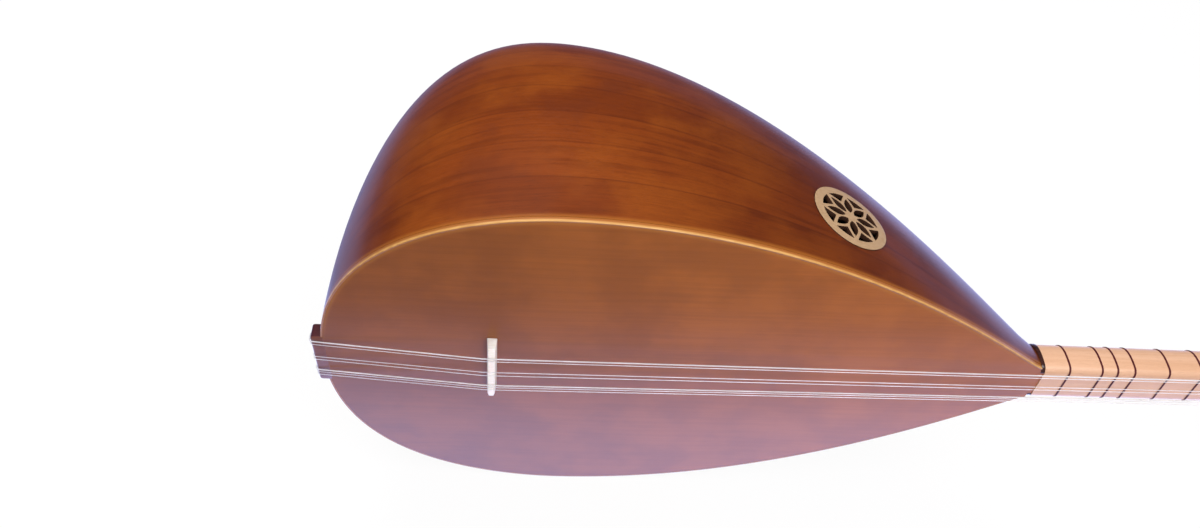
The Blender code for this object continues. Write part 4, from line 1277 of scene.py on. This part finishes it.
shape = tube(6, [
    bridge_ring(0.0, BRIDGE_FOOT / 2, BRIDGE_FOOT / 5, 0.0),
    bridge_ring(BRIDGE_HEIGHT + BONE_RISE, BRIDGE_TOP / 2, BRIDGE_TOP / 3, BRIDGE_END_SLOPE),
])
round_edges(shape, BONE_EDGE, 3, 20.0)
middle = Matrix.Translation((BRIDGE_AT, 0, sum(BRIDGE_ENDS) / 2))
bmesh.ops.transform(shape, matrix=middle @ Matrix.Rotation(BRIDGE_SLANT, 4, "Y"), verts=shape.verts)
bridge = to_object(shape, "bone_bridge", BONE)
settle(bridge, "bridge", ["bridge"])
print("the bridge is", BRIDGE_HEIGHT, "high")

# %% [markdown]
# The nut is a small bone block with worn edges. The dark tail block is rounded where the
# strings go over it, and it holds their ends in seven small holes: thin bars that are cut out
# of it, one for each string.

# %% Nut and tail block
NUT_BLOCK_HEIGHT = 0.0040
nut_size = (nut_high.x - nut_low.x, NUT_BLOCK_HEIGHT, nut_high.z - nut_low.z)
nut_top = nut_low.y - FACE - BONE_RISE
shape = solid_block(nut_size, ((nut_high.x + nut_low.x) / 2 - TAIL, nut_top + NUT_BLOCK_HEIGHT / 2, 0))
round_edges(shape, BONE_EDGE, 3)
nut = to_object(shape, "bone_nut", BONE)
settle(nut, "saz_body", ["nut"])

tail_low, tail_high = [corner - HOME.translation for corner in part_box("tailpiece")]
STRINGS_IN_COURSE = (2, 2, 3)
WOUND_RADIUS = 0.000375
PLAIN_RADIUS = 0.0002
TAIL_COURSES = ((0.0189, 0.0031), (0.0040, 0.0028), (-0.0102, 0.0026))
TAIL_HOLE_DEPTH = 0.0052
TAIL_HOLE_LENGTH = 0.0028
TAIL_LET_IN = 0.003
TAIL_CORNER = 0.0018
TAIL_ROUNDING = 0.0008
NEEDLE_ROOM = 0.0002

tail_size = tail_high - tail_low
tail_middle = (tail_low + tail_high) / 2
tail_size.x = TAIL_LET_IN - tail_low.x
tail_middle.x = tail_low.x + tail_size.x / 2
shape = solid_block(tail_size, tail_middle)
corners = [
    edge for edge in shape.edges
    if all(vertex.co.x < tail_middle.x for vertex in edge.verts)
    and abs(edge.verts[0].co.y - edge.verts[1].co.y) > 0.001
]
round_edges(shape, TAIL_CORNER, 5, edges=corners)
round_edges(shape, TAIL_ROUNDING, 4, 60.0)
tail = to_object(shape, "tail_string_block", WOODS["tail_wood"])


def strings():
    """Course, place in the course and number of strings in it, from the bass side."""
    return [(course, k, count) for course, count in enumerate(STRINGS_IN_COURSE) for k in range(count)]


def across_of(courses, course, k, count):
    centre, pitch = courses[course]
    return centre + ((count - 1) / 2 - k) * pitch


def radius_of(course, k):
    return WOUND_RADIUS if k == 0 and course != 1 else PLAIN_RADIUS


needles = []
for course, k, count in strings():
    centre = (tail_low.x, TAIL_HOLE_DEPTH, across_of(TAIL_COURSES, course, k, count))
    place = Matrix.Translation(centre) @ Matrix.Rotation(math.radians(90), 4, "Y")
    wide = radius_of(course, k) + NEEDLE_ROOM
    shape = round_bar(wide, wide, 2 * TAIL_HOLE_LENGTH, 20, place)
    needles.append(to_object(shape, f"needle_{course}_{k}", BONE))
for needle in needles:
    cut(tail, needle)
settle(tail, "saz_body", ["tailpiece"])
drop(*needles)
print("the tail block is", round(tail_size[2], 4), "wide")

# %% [markdown]
# ## The strings
# Each string is one wire. It leaves its hole in the tail block, bends over the block's
# edge, crosses the bridge and the nut, and ends in turns round its peg. The three side pegs
# take their strings over the rounded edge of the head. A tight string takes the shortest way
# there, which is a straight line if the face, the edge and the side are laid out flat. The
# straight runs need a point only where they bend, and the turns are a helix.

# %% String routes
BRIDGE_COURSES = ((0.0163, 0.0029), (0.0023, 0.0034), (-0.0118, 0.0025))
NUT_COURSES = ((0.0103, 0.0026), (0.0006, 0.0024), (-0.0086, 0.0020))
NUT_HEIGHT = 0.0014
TRAVEL = 0.003
WINDING_TURNS = 3
WINDING_STEPS = 36
WINDING_START = 0.0028
WINDING_SPACE = 0.00045
WINDING_ROOM = 0.0001
TAIL_EDGE = 0.0009
HITCH_GAP = 0.0003
SIDE_PEG_DEPTH = 0.0088
LEAVES_NUT = 0.012


def run_to_nut(course, k, count):
    clear = STRING_CLEARANCE + radius_of(course, k)
    tail_z = across_of(TAIL_COURSES, course, k, count)
    bridge_z = across_of(BRIDGE_COURSES, course, k, count)
    nut_z = across_of(NUT_COURSES, course, k, count)
    edge = tail_low.x
    points = [
        Vector((edge + TAIL_HOLE_LENGTH - HITCH_GAP, TAIL_HOLE_DEPTH, tail_z)),
        Vector((edge - 0.4 * clear, TAIL_HOLE_DEPTH, tail_z)),
        Vector((edge - clear, TAIL_HOLE_DEPTH - clear, tail_z)),
    ]
    bend = TAIL_EDGE + clear
    for angle in (0, 15, 30, 45, 60, 75, 86):
        turn = math.radians(angle)
        x = edge + TAIL_EDGE - bend * math.cos(turn)
        points.append(Vector((x, TAIL_EDGE + tail_low.y - bend * math.sin(turn), tail_z)))
    slant = sum(BRIDGE_ENDS) / 2 - bridge_z
    crest = BRIDGE_AT - slant * math.tan(BRIDGE_SLANT)
    flat = BRIDGE_TOP / 2 + TRAVEL
    for x, height, z in (
        (crest - flat, BRIDGE_HEIGHT, bridge_z),
        (crest + flat, BRIDGE_HEIGHT, bridge_z),
        (NUT_AT, NUT_HEIGHT, nut_z),
        (HEAD_JOINT, NUT_HEIGHT, nut_z),
    ):
        points.append(Vector((x, -height - clear, z)))
    return points


def first_touch(start, centre, axis, radius):
    """The way from the peg's axis to where the string first touches its turns."""
    flat = start - centre
    flat -= axis * flat.dot(axis)
    lead = math.acos(radius / flat.length)
    return (Matrix.Rotation(lead, 3, axis) @ flat).normalized()


def run_to_peg(index, start, radius):
    name = PEG_NAMES[index]
    origin, axis = peg_place(name)
    points = []
    if name.endswith("side"):
        bend = HEAD_CORNER + STRING_CLEARANCE + radius
        flat = head_size(0.2)[0] - HEAD_CORNER - start.z
        slope = (flat + bend * math.pi / 2 + SIDE_PEG_DEPTH - HEAD_CORNER) / SIDE_PEGS_AT[index]
        for lean in np.linspace(math.pi / 2, 0, 13):
            ahead = (flat + bend * (math.pi / 2 - lean)) / slope
            if ahead > LEAVES_NUT:
                corner = head_size(ahead / HEAD_LENGTH)[0] - HEAD_CORNER
                points.append(
                    head_point(ahead, bend * math.sin(lean) - HEAD_CORNER, corner + bend * math.cos(lean))
                )
    turns_radius = PEG_RADIUS + WINDING_ROOM + radius
    centre = origin + axis * WINDING_START
    way = first_touch(points[-1] if points else start, centre, axis, turns_radius)
    side = axis.cross(way)
    pitch = 2 * radius + WINDING_SPACE
    for k in range(WINDING_TURNS * WINDING_STEPS + 1):
        angle = 2 * math.pi * k / WINDING_STEPS
        arm = way * math.cos(angle) + side * math.sin(angle)
        points.append(centre + arm * turns_radius + axis * (pitch * k / WINDING_STEPS))
    return points


for index, (course, k, count) in enumerate(strings()):
    radius = radius_of(course, k)
    points = run_to_nut(course, k, count)
    points += run_to_peg(index, points[-1], radius)
    wound = radius == WOUND_RADIUS
    name = f"string_{index + 1}"
    piece = cord_curve(name.replace("string", "wire"), [(points, False)], radius, WOUND if wound else STEEL)
    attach(piece, "saz_body")
    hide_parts(name)
print("strung", sum(STRINGS_IN_COURSE), "wires")

# %% [markdown]
# ## Inside the bowl
# The two blocks and the brace are plain raw wood, and their solids already have the right
# shape. They only get their material.

# %% Inner pieces
for name in ("neck_block", "tail_block", "soundboard_brace"):
    frame["nodes"][name].data.materials.clear()
    frame["nodes"][name].data.materials.append(WOODS["inner_wood"])
print("the inner pieces are raw wood")

# %% [markdown]
# ## Floor, light and world
# The photograph's background is pure white and hides its shadow almost fully. The floor is
# therefore white light for camera rays, with a small share of plain matt floor that keeps a
# faint shadow. What the lacquer mirrors is another matter: the paper glows lilac close in front
# of the saz and behind it, more so on the right, and the rest of the room is dim. So rays from
# glossy surfaces see a floor whose light fades with the distance, and towards the tail.

# %% Floor
LILAC = (0.44, 0.52, 1.0, 1.0)
FRONT_GLOW = 4.1
TAIL_GLOW = 0.75
NECK_GLOW = 1.75
WHITE_SHARE = 0.94


def stage_floor():
    material, tree, _ = new_material("pale floor")
    tree.nodes.clear()
    along, back, _ = split(tree, here(tree))
    front = ramp(tree, back, FACE - 0.15, FACE - 0.03, 0.02, FRONT_GLOW)
    close = ramp(tree, back, FACE + 0.30, FACE + 0.80, 1.0, 0.10)
    level = ramp(tree, along, -0.35, 0.15, TAIL_GLOW, NECK_GLOW)
    rear = calc(tree, "MULTIPLY", close, level)
    behind = ramp(tree, back, FACE + 0.02, FACE + 0.20)
    glow = put(tree, "Mix", {0: behind, 2: front, 3: rear})[0]
    matt = put(tree, "BsdfDiffuse", {"Color": (0.86, 0.85, 0.88, 1.0)})[0]
    white = put(tree, "Emission", {"Color": (1.0, 1.0, 1.0, 1.0), "Strength": 1.0})[0]
    lilac = put(tree, "Emission", {"Color": LILAC, "Strength": glow})[0]
    ray = put(tree, "LightPath")
    mirrored = calc(tree, "MAXIMUM", ray["Is Glossy Ray"], ray["Is Transmission Ray"])
    unseen = put(tree, "MixShader", {0: mirrored, 1: matt, 2: lilac})[0]
    seen = calc(tree, "MULTIPLY", ray["Is Camera Ray"], WHITE_SHARE)
    put(tree, "OutputMaterial", {"Surface": put(tree, "MixShader", {0: seen, 1: unseen, 2: white})[0]})
    shape = bmesh.new()
    below = Matrix.Translation((0, 0, -0.0005))
    bmesh.ops.create_grid(shape, x_segments=1, y_segments=1, size=6.0, matrix=below)
    mesh = bpy.data.meshes.new("floor")
    shape.to_mesh(mesh)
    shape.free()
    mesh.materials.append(material)
    floor = add_object("floor", mesh)
    floor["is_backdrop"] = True


stage_floor()
print("the floor is laid")

# %% [markdown]
# Three soft lamps give the diffuse light. Two are hidden from glossy rays, since the floor and
# the room already give the lacquer what it mirrors. The one in front above is mirrored, in the
# strings and the rounded edges. The room is brighter for matt surfaces than for glossy ones,
# apart from a band behind on the right.

# %% Lamps and world
def lamp(name, place, aim, size, power, colour, mirrored):
    """A square soft lamp at a place, turned towards a point."""
    light = bpy.data.lights.new(name, "AREA")
    light.shape = "SQUARE"
    light.size = size
    light.energy = power
    light.color = colour
    made = add_object(name, light)
    made.location = place
    made.rotation_euler = (Vector(aim) - Vector(place)).to_track_quat("-Z", "Y").to_euler()
    made.visible_glossy = mirrored


BOWL_MIDDLE = HOME @ Vector((0.17, 0.08, 0.0))
lamp("key", (-0.60, 0.50, 1.10), BOWL_MIDDLE, 0.7, 12.0, (1.0, 0.96, 0.90), False)
lamp("top", (0.1, -0.60, 1.35), BOWL_MIDDLE, 0.8, 15.0, (1.0, 0.98, 0.96), True)
lamp("front", (0.0, -1.3, 0.45), BOWL_MIDDLE, 0.9, 7.0, (1.0, 0.96, 0.94), False)

ROOM_GLOW = 0.02
BAND_GLOW = 1.0
MIRRORED_WAY = (0.87, 0.50, 0.0)
world = bpy.data.worlds.new("studio")
bpy.context.scene.world = world
world.use_nodes = True
tree = world.node_tree
tree.nodes.clear()
way = put(tree, "TexCoord")["Generated"]
flat = calc(tree, "MULTIPLY", way, (1.0, 1.0, 0.0), "VectorMath")
flat = put(tree, "VectorMath", {0: flat}, operation="NORMALIZE")[0]
near = ramp(tree, along_way(tree, flat, MIRRORED_WAY), 0.86, 0.99)
low_down = ramp(tree, split(tree, way)["Z"], -0.05, 0.10, 1.0, 0.0)
band = calc(tree, "MULTIPLY", near, low_down)
glow = put(tree, "Math", {0: band, 1: BAND_GLOW, 2: ROOM_GLOW}, operation="MULTIPLY_ADD")[0]
mirrored = put(tree, "Background", {"Color": LILAC, "Strength": glow})[0]
room = put(tree, "Background", {"Color": (0.96, 0.94, 1.0, 1.0), "Strength": 0.40})[0]
white = put(tree, "Background", {"Color": (1.0, 1.0, 1.0, 1.0), "Strength": 1.0})[0]
ray = put(tree, "LightPath")
other = put(tree, "MixShader", {0: ray["Is Glossy Ray"], 1: room, 2: mirrored})[0]
either = put(tree, "MixShader", {0: ray["Is Camera Ray"], 1: other, 2: white})[0]
put(tree, "OutputWorld", {"Surface": either})
print("three lamps and a pale room")

# %% [markdown]
# ## Measure the size and finish
# The dressed saz must fill the same box as the solids. Its own box is measured and printed.

# %% Finish
low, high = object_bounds()
print("the dressed saz reaches", [round(v, 4) for v in (high - low)])
